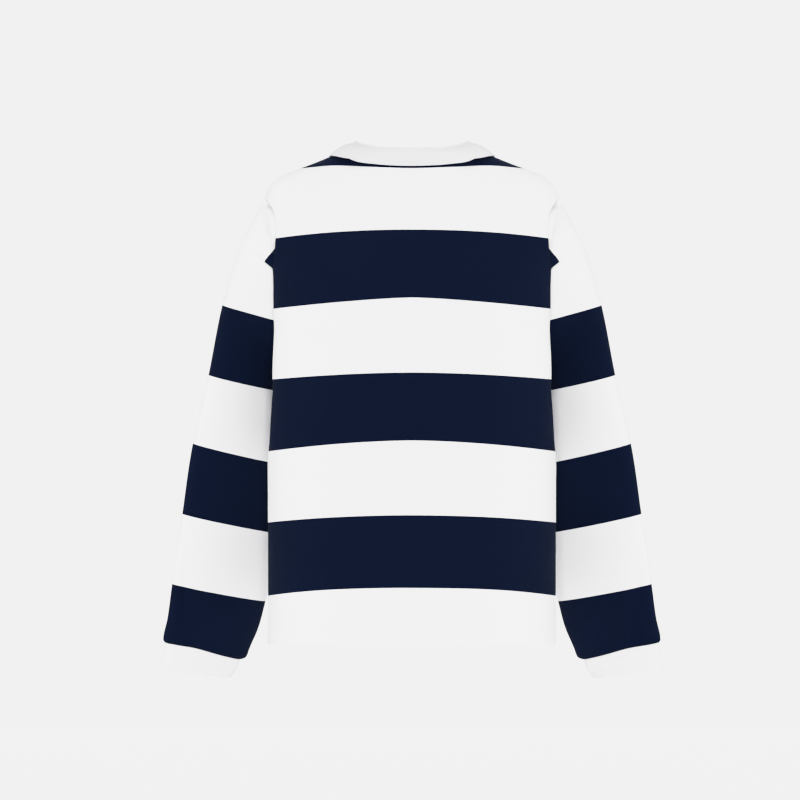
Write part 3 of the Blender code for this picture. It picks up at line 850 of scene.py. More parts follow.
@dataclass
class DrapeFold:
    """Fold that hangs from each shoulder end down the back, where the back laps over its own edge."""

    # height, place out from the middle
    line: Table = (
        (-0.1900, 0.1990), (-0.1700, 0.1965), (-0.1452, 0.1940), (-0.1269, 0.1926), (-0.1029, 0.1926),
        (-0.0860, 0.1975), (-0.0747, 0.2051), (-0.0600, 0.2160),
    )
    top: float = -0.066
    foot: float = -0.172
    # widths over which the fold comes and goes below its top, above its foot and off the seams
    top_fade: float = 0.014
    foot_fade: float = 0.022
    side_fade: float = 0.010
    # height at which the fold is pinched deeper, that stretch's spread and how much deeper
    pinch: float = -0.083
    pinch_spread: float = 0.010
    pinch_more: float = 0.30
    # drop past the line, how far inside the line it starts and its width
    depth: float = 0.0115
    start: float = 0.0018
    steepness: float = 0.0030
    # ridge before the drop, its place inside the line and its width
    lip: float = 0.0010
    lip_place: float = 0.0045
    lip_width: float = 0.0030
    # sideways lap of that ridge over the drop, and its width, which is also its place inside the line
    lap: float = 0.0006
    lap_width: float = 0.0016
    # rise again: where its steep part starts and its width, and the slow part's width and share
    bank: float = 0.0055
    bank_width: float = 0.0050
    slow_width: float = 0.0200
    slow_share: float = 0.15

    def past(self, points: Array) -> Array:
        """How far outside the fold's line each point is."""
        height, out = np.array(self.line).T
        return np.abs(points[..., 0]) - curve_through(height, out, points[..., 2])

    def past_in_rows(self, points: Array) -> Array:
        """The same for a whole panel, but nowhere less than nearer the middle of the same row.

        Args:
            points: the panel's grid.

        Returns:
            The distances outward, negative inside the line.
        """
        past = self.past(points)
        middle = past.shape[1] // 2
        left = np.maximum.accumulate(past[:, middle::-1], axis=1)[:, ::-1]
        right = np.maximum.accumulate(past[:, middle:], axis=1)
        return np.concatenate([left[:, :-1], right], axis=1)

    def away(self, points: Array, past: Array) -> Array:
        """Distance of each point from the nearest point on the fold's line, and zero inside the line.

        Both halves are measured from the line on the wearer's left, with the right half folded onto it.

        Args:
            points: the back's grid.
            past: how far outside the line each point is, never less than nearer the middle.

        Returns:
            The distances.
        """
        middle = past.shape[1] // 2
        half = past[:, middle:]
        rows = np.nonzero((half > 0).any(axis=1))[0]
        met = points[rows, middle + np.argmax(half[rows] > 0, axis=1)]
        folded = np.concatenate([np.abs(points[..., :1]), points[..., 1:]], axis=-1)
        gap = np.full(past.shape, np.inf)
        for point in met:
            gap = np.minimum(gap, np.linalg.norm(folded - point, axis=-1))
        return np.where(past > 0, gap, 0.0)

    def strength(self, points: Array, rise: Array) -> Array:
        """Share of the fold at each point: none above its top, below its foot and at the seams.

        Args:
            points: the back's grid.
            rise: the rise of each point, 2 at the shoulder seam.

        Returns:
            The shares.
        """
        height = points[..., 2]
        share = ease((self.top - height) / self.top_fade) * ease((height - self.foot) / self.foot_fade)
        return share * ease((2.0 - rise) / 0.10) * ease(from_sides(points) / self.side_fade)

    def moved(self, points: Array, past: Array, rise: Array, normals: Array) -> Array:
        """The back with its fold: a lip that laps over a steep drop, then a steep and a slow rise again.

        Args:
            points: the back's grid.
            past: how far outside the fold's line each point is, never less than nearer the middle.
            rise: the rise of each point, 2 at the shoulder seam.
            normals: the outward direction of each.

        Returns:
            The moved grid.
        """
        pinch = bell((points[..., 2] - self.pinch) / self.pinch_spread)
        away = self.away(points, past)
        steep = 1.0 - ramp(away, self.bank, self.bank_width)
        rise_again = (1.0 - self.slow_share) * steep + self.slow_share * bell(away / self.slow_width)
        drop = ramp(past, -self.start, self.steepness) * rise_again * (1.0 + self.pinch_more * pinch)
        out = self.lip * bell((past + self.lip_place) / self.lip_width) - self.depth * drop
        lap = self.lap * bell((past + self.lap_width) / self.lap_width) * np.sign(points[..., 0])
        share = self.strength(points, rise)
        points = points + normals * (share * out)[..., None]
        points[..., 0] += share * lap
        return points


@dataclass
class StripePlan:
    """Heights of the stripes' edges on the body and on the sleeves, as seen from straight behind.

    Whole numbers of the stripe value stand at the edges, and cloth between an odd number and the
    next even one is navy.
    """

    # middle of the body, drop toward the side at reach, power of that drop
    body_edges: Table = (
        (-0.1155, 0.0114, 2.2), (-0.2115, 0.0149, 1.4), (-0.3173, 0.0085, 1.8),
        (-0.4130, 0.0134, 1.7), (-0.5185, 0.0083, 2.1), (-0.6212, 0.0087, 2.6),
    )
    reach: float = 0.1854
    # place out from the middle, height of the first edge
    shoulder_edge: Table = (
        (-0.060, -0.0273), (0.000, -0.0291), (0.060, -0.0273), (0.115, -0.0257), (0.154, -0.0292),
        (0.300, -0.0292),
    )
    # outer end of each edge and the slope with which it falls toward the body
    sleeve_edges: Table = (
        (0.2685, -0.2199, 15.4), (0.2869, -0.3201, 14.6), (0.3080, -0.4177, 15.2),
        (0.3214, -0.5187, 13.8), (0.3376, -0.6178, 12.9),
    )
    sleeve_lean: float = 0.06
    # depth of a whole stripe below the last edge
    stripe_depth: float = 0.1
    # beyond the drape fold and above the wing's foot: height of the second edge, place out where
    # that is, and its fall
    wing_edge: Tuple[float, float, float] = (-0.1445, 0.1945, 1.157)
    wing_foot: float = -0.17
    fold: DrapeFold = field(default_factory=DrapeFold)

    @staticmethod
    def seen(points: Array) -> Array:
        """Points as a camera straight behind sees them, carried along the line of sight to y = 0.

        Args:
            points: points of the cloth.

        Returns:
            Points whose x and z are the places seen.
        """
        centre = np.array([VIEW_CENTRE[0], 0.0, VIEW_CENTRE[1]])
        grow = CAMERA_DISTANCE / (CAMERA_DISTANCE - points[..., 1:2])
        return centre + (points - centre) * grow

    def between(self, height: Array, edges: List[Array], first: float) -> Array:
        """Stripe value at a height, straight between each edge and the next.

        Args:
            height: height of each point.
            edges: height of each edge there, from the top down.
            first: the value at the first edge.

        Returns:
            The stripe value.
        """
        value = first + (edges[0] - height) / np.abs(edges[0] - edges[1])
        for number, (upper, lower) in enumerate(zip(edges, edges[1:])):
            value = np.where(height < upper, first + number + (upper - height) / (upper - lower), value)
        last = edges[-1]
        return np.where(height < last, first + len(edges) - 1 + (last - height) / self.stripe_depth, value)

    def on_body(self, points: Array, past: Array) -> Array:
        """Stripe value of a body panel, its second edge lower where the drape fold takes up cloth.

        Args:
            points: the panel's grid.
            past: how far outside the drape fold's line each point is.

        Returns:
            The value at each point.
        """
        side = np.sign(points[..., 1].mean())
        height = self.seen(points * np.array([1.0, side, 1.0]))[..., 2]
        out = np.abs(points[..., 0])
        top = np.array(self.shoulder_edge)
        edges = [curve_through(top[:, 0], top[:, 1], out)]
        for middle, drop, power in self.body_edges:
            edges.append(middle - drop * (out / self.reach) ** power)
        if side > 0:
            beyond = ease((past + 0.0004) / 0.0012) * (height > self.wing_foot)
            wing_height, wing_place, wing_fall = self.wing_edge
            edges[1] = edges[1] + beyond * (wing_height - (out - wing_place) * wing_fall - edges[1])
        return self.between(height, edges, 0.0)

    def on_sleeve(self, points: Array, side: int) -> Array:
        """Stripe value of a sleeve, from planes that fall toward the body.

        Args:
            points: the sleeve's grid.
            side: 1 for the wearer's left.

        Returns:
            The value at each point, white above the first edge.
        """
        out = points[..., 0] * side
        edges = []
        for outer, height, slope in self.sleeve_edges:
            edges.append(height - math.tan(math.radians(slope)) * (outer - out)
                         - self.sleeve_lean * (points[..., 1] + 0.05))
        return np.clip(self.between(points[..., 2], edges, 1.0), 0.05, 5.95)


# ------------------------------------------------------------------ stitches
@dataclass
class StitchRow:
    """Row of small threads laid along a line on the cloth."""

    name: str
    length: float = 0.0026
    gap: float = 0.0012
    thick: float = 0.00032

    def place(self, line: Array, normals: Array) -> Array:
        """Shape of every stitch: a short six-sided thread, humped in the middle.

        Args:
            line: points along the seam.
            normals: the cloth's direction at each.

        Returns:
            Points by stitch, ring and corner.
        """
        run = np.concatenate([[0.0], np.cumsum(np.linalg.norm(np.diff(line, axis=0), axis=1))])
        count = max(int(run[-1] / (self.length + self.gap)), 1)
        starts = (np.arange(count) + 0.5) / count * run[-1]
        share = np.linspace(-0.5, 0.5, 5)
        at = np.clip(starts[:, None] + share * self.length, 0.0, run[-1])
        centre = np.stack([np.interp(at, run, line[:, axis]) for axis in range(3)], axis=-1)
        up = unit(np.stack([np.interp(at, run, normals[:, axis]) for axis in range(3)], axis=-1))
        along = unit(np.gradient(centre, axis=1))
        side = unit(np.cross(along, up))
        hump = np.sqrt(np.clip(1.0 - (2 * share) ** 2, 0.0, 1.0))
        centre = centre + up * (self.thick * (0.9 * hump - 0.35))[None, :, None]
        turn = np.linspace(0, 2 * math.pi, 6, endpoint=False)
        size = self.thick * (0.35 + 0.65 * hump)
        ring = (np.cos(turn)[:, None] * side[:, :, None, :] + np.sin(turn)[:, None] * up[:, :, None, :])
        return centre[:, :, None, :] + ring * size[None, :, None, None]

    def build(self, lines: Sequence[Tuple[Array, Array]], material: bpy.types.Material) -> bpy.types.Object:
        """Make one mesh of all the stitches along some lines.

        Args:
            lines: pairs of a line's points and the cloth's directions there.
            material: the thread.

        Returns:
            The new object.
        """
        shape = np.concatenate([self.place(line, normals) for line, normals in lines])
        count, rings, corners = shape.shape[:3]
        number = np.arange(rings * corners).reshape(rings, corners)
        ahead = np.roll(number, -1, axis=1)
        faces = np.stack([number[:-1], ahead[:-1], ahead[1:], number[1:]], axis=-1).reshape(-1, 4)
        ends = np.array([[0, 5, 4, 3], [0, 3, 2, 1]])
        last = (rings - 1) * corners
        ends = np.concatenate([ends, np.array([[0, 1, 2, 3], [0, 3, 4, 5]]) + last])
        faces = np.concatenate([faces, ends])
        faces = (faces[None] + (np.arange(count) * rings * corners)[:, None, None]).reshape(-1, 4)
        return make_mesh(self.name, shape.reshape(-1, 3), faces[:, ::-1], material)


# ------------------------------------------------------------------ pieces
@dataclass
class Panels:
    """Back and front of the body."""

    form: ShirtForm
    stripes: StripePlan
    wall: float = 0.0013
    hem_turn: float = 0.024
    front_drop: float = 0.0012
    # rows of hem stitching below the turn's upper edge, and how far the first presses the cloth in
    stitch_insets: Tuple[float, float] = (0.0020, 0.0075)
    pressed: float = 0.0009
    hem_layer: float = 0.0010
    hem_edge: float = 0.0007
    hem_wave: float = 0.0004
    # hanging waves: their depth, how closely they follow each other and where they start
    wave: float = 0.0011
    wave_turn: float = 46.0
    wave_start: float = -0.30
    # stretches of columns over half a panel, of rows below and of rows above the armpits:
    # the place where each ends and how many it has
    columns: Tuple[Tuple[float, int], ...] = (
        (0.42, 22), (0.72, 18), (0.765, 8), (0.80, 44), (0.86, 16), (0.985, 18), (1.0, 6),
    )
    lower_rows: Tuple[Tuple[float, int], ...] = ((0.075, 16), (1.0, 62))
    upper_rows: Tuple[Tuple[float, int], ...] = ((0.985, 84), (1.0, 5))
    # middle of the closest columns
    closest: float = 0.78
    # depth and width of the grooves along the side and armhole seams and along the shoulder seam
    groove: float = 0.0018
    top_groove: float = 0.0012
    groove_width: float = 0.0022

    def places(self, side: int, rise: Array) -> Array:
        """Places of the columns across half a panel, close together by the side seam and the drape fold.

        Behind, one column follows the fold's line down to its lowest row above the armpits, and keeps its
        place below that.

        Args:
            side: 1 for the back and -1 for the front.
            rise: the rise of each row outside the neck.

        Returns:
            The place of each column in each row.
        """
        level = spaced(self.columns)
        if side < 0:
            return np.broadcast_to(level, (len(rise), len(level)))
        trial = np.linspace(0.60, 1.0, 401)
        past = self.stripes.fold.past(self.form.body(1, trial[None, :], rise[:, None]))
        first = np.clip(np.argmax(past > 0, axis=1), 1, None)
        row = np.arange(len(rise))
        before, after = past[row, first - 1], past[row, first]
        met = trial[first - 1] + before / (before - after) * (trial[1] - trial[0])
        lowest = int(np.argmax((past > 0).any(axis=1) & (rise > 1.0)))
        met[:lowest] = met[lowest]
        met = np.convolve(np.pad(met, 3, mode="edge"), np.full(7, 1 / 7), mode="valid")
        window = ease((level - 0.45) / 0.30) * ease((1.0 - level) / 0.16)
        return level + (met[:, None] - self.closest) * window

    def grid(self, side: int) -> Tuple[Array, Array, Array]:
        """Smoothed grid of a whole panel.

        Args:
            side: 1 for the back and -1 for the front.

        Returns:
            The points, the signed place across and the rise of each.
        """
        lower = spaced(self.lower_rows)
        upper = spaced(self.upper_rows)[1:]
        half = self.places(side, np.concatenate([lower, 1 + upper]))
        tops = self.form.neck_rise(side, half[0])
        rise = np.concatenate([np.repeat(lower[:, None], len(tops), axis=1),
                               1 + upper[:, None] * (tops[None, :] - 1)])
        points = both_halves(self.form.body(side, half, rise))
        across = np.concatenate([-half[:, :0:-1], half], axis=1)
        rise = np.concatenate([rise[:, :0:-1], rise], axis=1)
        return self.smoothed(points, across, rise), across, rise

    def smoothed(self, points: Array, across: Array, rise: Array) -> Array:
        """Take the small ridges out at the armpits and the neck points, and set the sides' last millimetres.

        The sides stand out a little below the underarm and are drawn in beside the drape fold.

        Args:
            points: the panel's grid.
            across: signed place across.
            rise: the rise of each point.

        Returns:
            The smoothed grid.
        """
        place = np.abs(across)
        armpit = bell((rise - 1.0) / 0.16)
        neck = bell((place - self.form.neck_share) / 0.16) * ease((rise - 0.9) / 0.3)
        points = relax(points, np.clip(armpit + neck, 0.0, 1.0), 90)
        points = relax(points, np.full(rise.shape, 0.7), 6)
        height = points[..., 2]
        fuller = 0.0036 * bell((height + 0.388) / 0.045) * ease((place - 0.60) / 0.30)
        fuller += 0.0032 * bell((height + 0.312) / 0.045) * bell((place - 0.80) / 0.09)
        slimmer = 0.0024 * bell((height + 0.185) / 0.035) * bell((place - 0.88) / 0.06)
        points[..., 0] += np.sign(across) * (fuller - slimmer)
        return points

    def creases(self, side: int, across: Array, points: Array) -> Array:
        """Soft uneven troughs and ridges of a panel, outward positive.

        Broad hanging waves run up from the hem, and low folds spread from each underarm.

        Args:
            side: 1 for the back and -1 for the front.
            across: signed place across.
            points: the grid.

        Returns:
            The move along the normal.
        """
        x = points[..., 0]
        z = points[..., 2]
        hang = ease((self.wave_start - z) / 0.35)
        sway = 0.9 * wander(z, 1.0 + side, 0.12) + side
        waves = self.wave * hang * np.sin(x * self.wave_turn + sway)
        spread = np.zeros_like(z)
        # height at the side, rise toward the middle, width, middle, reach, depth
        drags = (
            (-0.318, -0.15, 0.011, 0.74, 0.13, 0.0030), (-0.272, 0.12, 0.013, 0.76, 0.12, 0.0026),
            (-0.345, -0.34, 0.014, 0.70, 0.12, 0.0020),
        )
        for hand in (-1, 1):
            out = across * hand
            uneven = 1.0 + 0.4 * wander(out, 2.0 + hand, 0.2)
            for height, slope, width, middle, reach, depth in drags:
                fold = (z - height - slope * (1.0 - out)) / width
                spread -= depth * bell(fold) * bell((out - middle) / reach) * uneven
        share, width = (0.35, 0.20) if side > 0 else (1.0, 0.05)
        return (waves + share * spread) * ease((1.0 - np.abs(across)) / width)

    def hem(self, across: Array, points: Array) -> Array:
        """Relief of the turned hem: a second layer, pressed in along its stitching.

        Args:
            across: signed place across.
            points: the grid.

        Returns:
            The relief along the normal.
        """
        above = points[..., 2] - self.form.hem
        past_turn = above - self.hem_turn
        layer = self.hem_layer * (1.0 - ease(past_turn / 0.002))
        pressed = -self.pressed * bell((past_turn + self.stitch_insets[0]) / 0.0022)
        edge = -self.hem_edge * bell(above / 0.0016)
        wavy = self.hem_wave * (1.0 - ease(past_turn / 0.004)) * wander(across, 3.0, 0.11)
        return layer + pressed + edge + wavy

    def seams(self, points: Array) -> Array:
        """Moves that draw the cloth in along the side, shoulder, armhole and neck seams.

        Args:
            points: the grid.

        Returns:
            The move of each point.
        """
        top = lengths_along(points, 0)
        beside = self.groove * bell(from_sides(points) / self.groove_width)
        below = self.top_groove * bell((top[-1:] - top) / self.groove_width)
        return np.maximum(beside, below)[..., None] * self.form.seam_pull(points)

    def panel(self, name: str, side: int) -> Cloth:
        """One panel with its creases, hem, seams and stripes.

        Args:
            name: the panel's name.
            side: 1 for the back and -1 for the front.

        Returns:
            The panel's outer face.
        """
        points, across, rise = self.grid(side)
        flip = side > 0
        relief = self.hem(across, points)
        normals = grid_normals(points, False, flip)
        seams = self.seams(points)
        past = self.stripes.fold.past_in_rows(points)
        if side > 0:
            points = self.stripes.fold.moved(points, past, rise, normals)
        stripe = self.stripes.on_body(points, past)
        if side < 0:
            low = self.front_drop * (1.0 - ease((points[..., 2] - self.form.hem) / 0.05))
            points[..., 2] -= low * ease((1.0 - np.abs(across)) / 0.15)
        points = points + normals * self.creases(side, across, points)[..., None] + seams
        armpit_row = int(np.argmin(np.abs(rise[:, 0] - 1.0)))
        return Cloth(name, points, False, flip, self.wall, stripe, relief, armpit_row)

    def hem_lines(self, cloth: Cloth) -> List[Tuple[Array, Array]]:
        """Lines of the two rows of hem stitching on a panel.

        Args:
            cloth: the panel.

        Returns:
            Pairs of a line's points and the cloth's directions there.
        """
        normals = grid_normals(cloth.points, False, cloth.flip)
        lines = []
        height = cloth.points[:, 0, 2] - self.form.hem
        for inset in self.stitch_insets:
            above = self.hem_turn - inset
            row = int(np.searchsorted(height, above))
            share = (above - height[row - 1]) / (height[row] - height[row - 1])
            line = cloth.points[row - 1] + share * (cloth.points[row] - cloth.points[row - 1])
            lift = cloth.relief[row][:, None] * normals[row]
            lines.append((line + lift, normals[row]))
        return lines

    def build(self, jersey: bpy.types.Material, thread: bpy.types.Material) -> None:
        """Make both panels and the hem stitching.

        Args:
            jersey: the panels' finish.
            thread: the stitches' finish.
        """
        back = self.panel("back_panel", 1)
        front = self.panel("front_panel", -1)
        hem = StitchRow("hem_stitching").build(self.hem_lines(back) + self.hem_lines(front), thread)
        dress(hem)
        back_thing = dress(back.build(jersey), ["back"])
        front_thing = dress(front.build(jersey), ["front"])


def seam_arch(points: Array) -> Array:
    """Rise of the cuff seam in the outer half of the wrist, where the sleeve's end is taken in."""
    return 0.0023 * bell((np.abs(points[..., 0]) - 0.306) / 0.026)


@dataclass
class Sleeves:
    """Both sleeves, swept between sections that lie between an outer and an inner point."""

    form: ShirtForm
    stripes: StripePlan
    wall: float = 0.0013
    # depth and width of the groove at the armhole seam, and the same at the cuff's
    groove: float = 0.0018
    groove_width: float = 0.0022
    cuff_groove: float = 0.0008
    cuff_groove_width: float = 0.0018
    # columns round a sleeve, and stretches of rows along it: the place where each ends and its rows
    columns: int = 132
    lengths: Tuple[Tuple[float, int], ...] = ((0.012, 8), (0.9, 104), (0.985, 22), (1.0, 9))
    # along, outer point, inner point, half depth
    rows: Table = (
        (0.000, 0.2417, -0.012, -0.1340, 0.1720, -0.055, -0.2900, 0.0450),
        (0.070, 0.2555, -0.017, -0.1760, 0.1845, -0.074, -0.2985, 0.0440),
        (0.150, 0.2683, -0.025, -0.2240, 0.1860, -0.103, -0.3240, 0.0430),
        (0.310, 0.2878, -0.040, -0.3215, 0.1720, -0.132, -0.3860, 0.0410),
        (0.470, 0.3108, -0.052, -0.4216, 0.1700, -0.145, -0.4660, 0.0390),
        (0.640, 0.3254, -0.062, -0.5190, 0.1860, -0.147, -0.5520, 0.0350),
        (0.800, 0.3400, -0.070, -0.6190, 0.2080, -0.143, -0.6420, 0.0300),
        (0.900, 0.3466, -0.074, -0.6660, 0.2190, -0.138, -0.6820, 0.0280),
        (0.970, 0.3522, -0.075, -0.6915, 0.2312, -0.133, -0.7105, 0.0260),
        (0.985, 0.3524, -0.075, -0.6960, 0.2355, -0.131, -0.7212, 0.0250),
        (1.000, 0.3508, -0.076, -0.7000, 0.2446, -0.127, -0.7255, 0.0220),
    )

    def section(self, along: Array, turn: Array) -> Array:
        """Points of the sleeve: ellipses from outer to inner point, the first one the armhole seam.

        Args:
            along: 0 at the armhole and 1 at the cuff.
            turn: 0 at the outer point, a quarter turn behind.

        Returns:
            The points.
        """
        outer, inner, depth = swept(self.rows, along)
        fade = 1 - ease(along / 0.12)
        reach = np.stack([self.form.ring_reach[0] * fade, depth, 0 * depth], axis=-1)
        turn = turn[..., None]
        return ((outer + inner) / 2 + (outer - inner) / 2 * np.cos(turn) + reach * np.sin(turn)
                + fade[..., None] * self.form.ring_bow(turn))

    def creases(self, along: Array, turn: Array, hand: int) -> Array:
        """Soft folds of a sleeve: a long trough above the cuff and slack rings round the elbow.

        Args:
            along: place along the sleeve.
            turn: angle round it.
            hand: 1 for the wearer's left.

        Returns:
            The move along the normal.
        """
        move = np.zeros_like(along)
        # start along, turn there, lean, width along, width round, depth
        folds = (
            (0.90, 0.95, 0.9, 0.16, 0.20, -0.0045),
            (0.93, 1.75, 0.5, 0.13, 0.24, -0.0022),
            (0.92, 4.60, -0.6, 0.15, 0.22, -0.0035),
            (0.91, 5.70, 0.4, 0.12, 0.22, -0.0025),
        )
        for start, angle, lean, length, width, depth in folds:
            off = np.angle(np.exp(1j * (turn - angle - lean * (along - start) / length * 0.35)))
            move += depth * bell((along - start) / length) * bell(off / width)
        # place along, lean round, width, middle turn, spread round, depth
        slack = (
            (0.44, 0.020, 0.022, 3.5, 1.0, -0.0035), (0.50, -0.015, 0.020, 3.9, 0.9, -0.0030),
            (0.38, 0.030, 0.020, 3.0, 0.8, -0.0025), (0.20, -0.040, 0.022, 3.9, 0.7, -0.0035),
            (0.14, -0.050, 0.018, 2.6, 0.6, -0.0025), (0.27, 0.035, 0.024, 3.2, 0.8, -0.0022),
        )
        for place, lean, width, middle, spread, depth in slack:
            off = np.angle(np.exp(1j * (turn - middle)))
            line = along - place - lean * off - 0.006 * wander(off, place * 9.0 + hand, 0.9)
            move += depth * bell(line / width) * bell(off / spread)
        ends = ease(along / 0.05) * ease((1.0 - along) / 0.03)
        return move * ends

    def sleeve(self, word: str, hand: int) -> Cloth:
        """One sleeve with its folds, end seams and stripes.

        Args:
            word: left or right.
            hand: 1 for the wearer's left.

        Returns:
            The sleeve's outer face.
        """
        turn = np.linspace(0.0, 2 * math.pi, self.columns, endpoint=False)
        along, turn = np.meshgrid(spaced(self.lengths), turn, indexing="ij")
        points = self.section(along, turn) * np.array([hand, 1, 1])
        points[..., 2] += seam_arch(points) * bell((1.0 - along) / 0.06)
        flip = hand > 0
        normals = grid_normals(points, True, flip)
        stripe = self.stripes.on_sleeve(points, hand)
        run = lengths_along(points, 0)
        groove = self.groove * bell(run / self.groove_width)
        points = (points + normals * self.creases(along, turn, hand)[..., None]
                  + self.form.seam_pull(points) * groove[..., None])
        relief = -self.cuff_groove * bell((run[-1:] - run) / self.cuff_groove_width)
        return Cloth(f"sleeve_cloth_{word}", points, True, flip, self.wall, stripe, relief)

    def build(self, jersey: bpy.types.Material) -> None:
        """Make both sleeves.

        Args:
            jersey: their finish.
        """
        for word, hand in HANDS:
            thing = dress(self.sleeve(word, hand).build(jersey), [f"sleeve_{word}"])


@dataclass
class Cuffs:
    """Ribbed cuffs, doubled and folded at the wrist."""

    wall: float = 0.0020
    ribs: int = 78
    rib_columns: int = 7
    rib_height: float = 0.00045
    swell: float = 0.0012
    uneven: float = 0.0008
    wrist_groove: float = 0.0008
    # stretches of rows along a cuff: the place where each ends and its rows
    lengths: Tuple[Tuple[float, int], ...] = ((0.06, 3), (0.93, 22), (1.0, 5))
    rows: Table = (
        (0.000, 0.3508, -0.076, -0.7000, 0.2446, -0.127, -0.7255, 0.0220),
        (0.150, 0.3512, -0.076, -0.7060, 0.2460, -0.126, -0.7295, 0.0215),
        (1.000, 0.3537, -0.077, -0.7390, 0.2587, -0.121, -0.7510, 0.0210),
    )

    def cuff(self, word: str, hand: int) -> Cloth:
        """One cuff: sections between the table's outer and inner points, with ribs as a cosine's root.

        Args:
            word: left or right.
            hand: 1 for the wearer's left.

        Returns:
            The cuff's outer face.
        """
        turn = np.linspace(0.0, 2 * math.pi, self.ribs * self.rib_columns, endpoint=False)
        along, turn = np.meshgrid(spaced(self.lengths), turn, indexing="ij")
        outer, inner, depth = swept(self.rows, along)
        reach = np.stack([0 * depth, depth, 0 * depth], axis=-1)
        angle = turn[..., None]
        points = (outer + inner) / 2 + (outer - inner) / 2 * np.cos(angle) + reach * np.sin(angle)
        points = points * np.array([hand, 1, 1])
        points[..., 2] += seam_arch(points) * (1.0 - ease(along / 0.8))
        flip = hand > 0
        normals = grid_normals(points, True, flip)
        uneven = self.uneven * wander(np.cos(turn), 2.0 + hand, 0.7) * along
        swell = self.swell * np.sin(math.pi * along) + uneven
        points = points + normals * swell[..., None]
        round_length = lengths_along(points, 1)
        around = round_length / round_length[:, -1:] * (len(turn[0]) - 1) / len(turn[0])
        rib = np.sqrt(0.5 + 0.5 * np.cos(2 * math.pi * self.ribs * around))
        ends = ease(along / 0.10) * ease((1.0 - along) / 0.08)
        wrist_edge = self.wrist_groove * (1 - ease((1.0 - along) / 0.05))
        relief = self.rib_height * (rib - 1.0) * (0.35 + 0.65 * ends) - wrist_edge
        return Cloth(f"cuff_rib_{word}", points, True, flip, self.wall, None, relief)

    def build(self, rib: bpy.types.Material) -> None:
        """Make both cuffs.

        Args:
            rib: their finish.
        """
        for word, hand in HANDS:
            thing = dress(self.cuff(word, hand).build(rib), [f"cuff_{word}"])


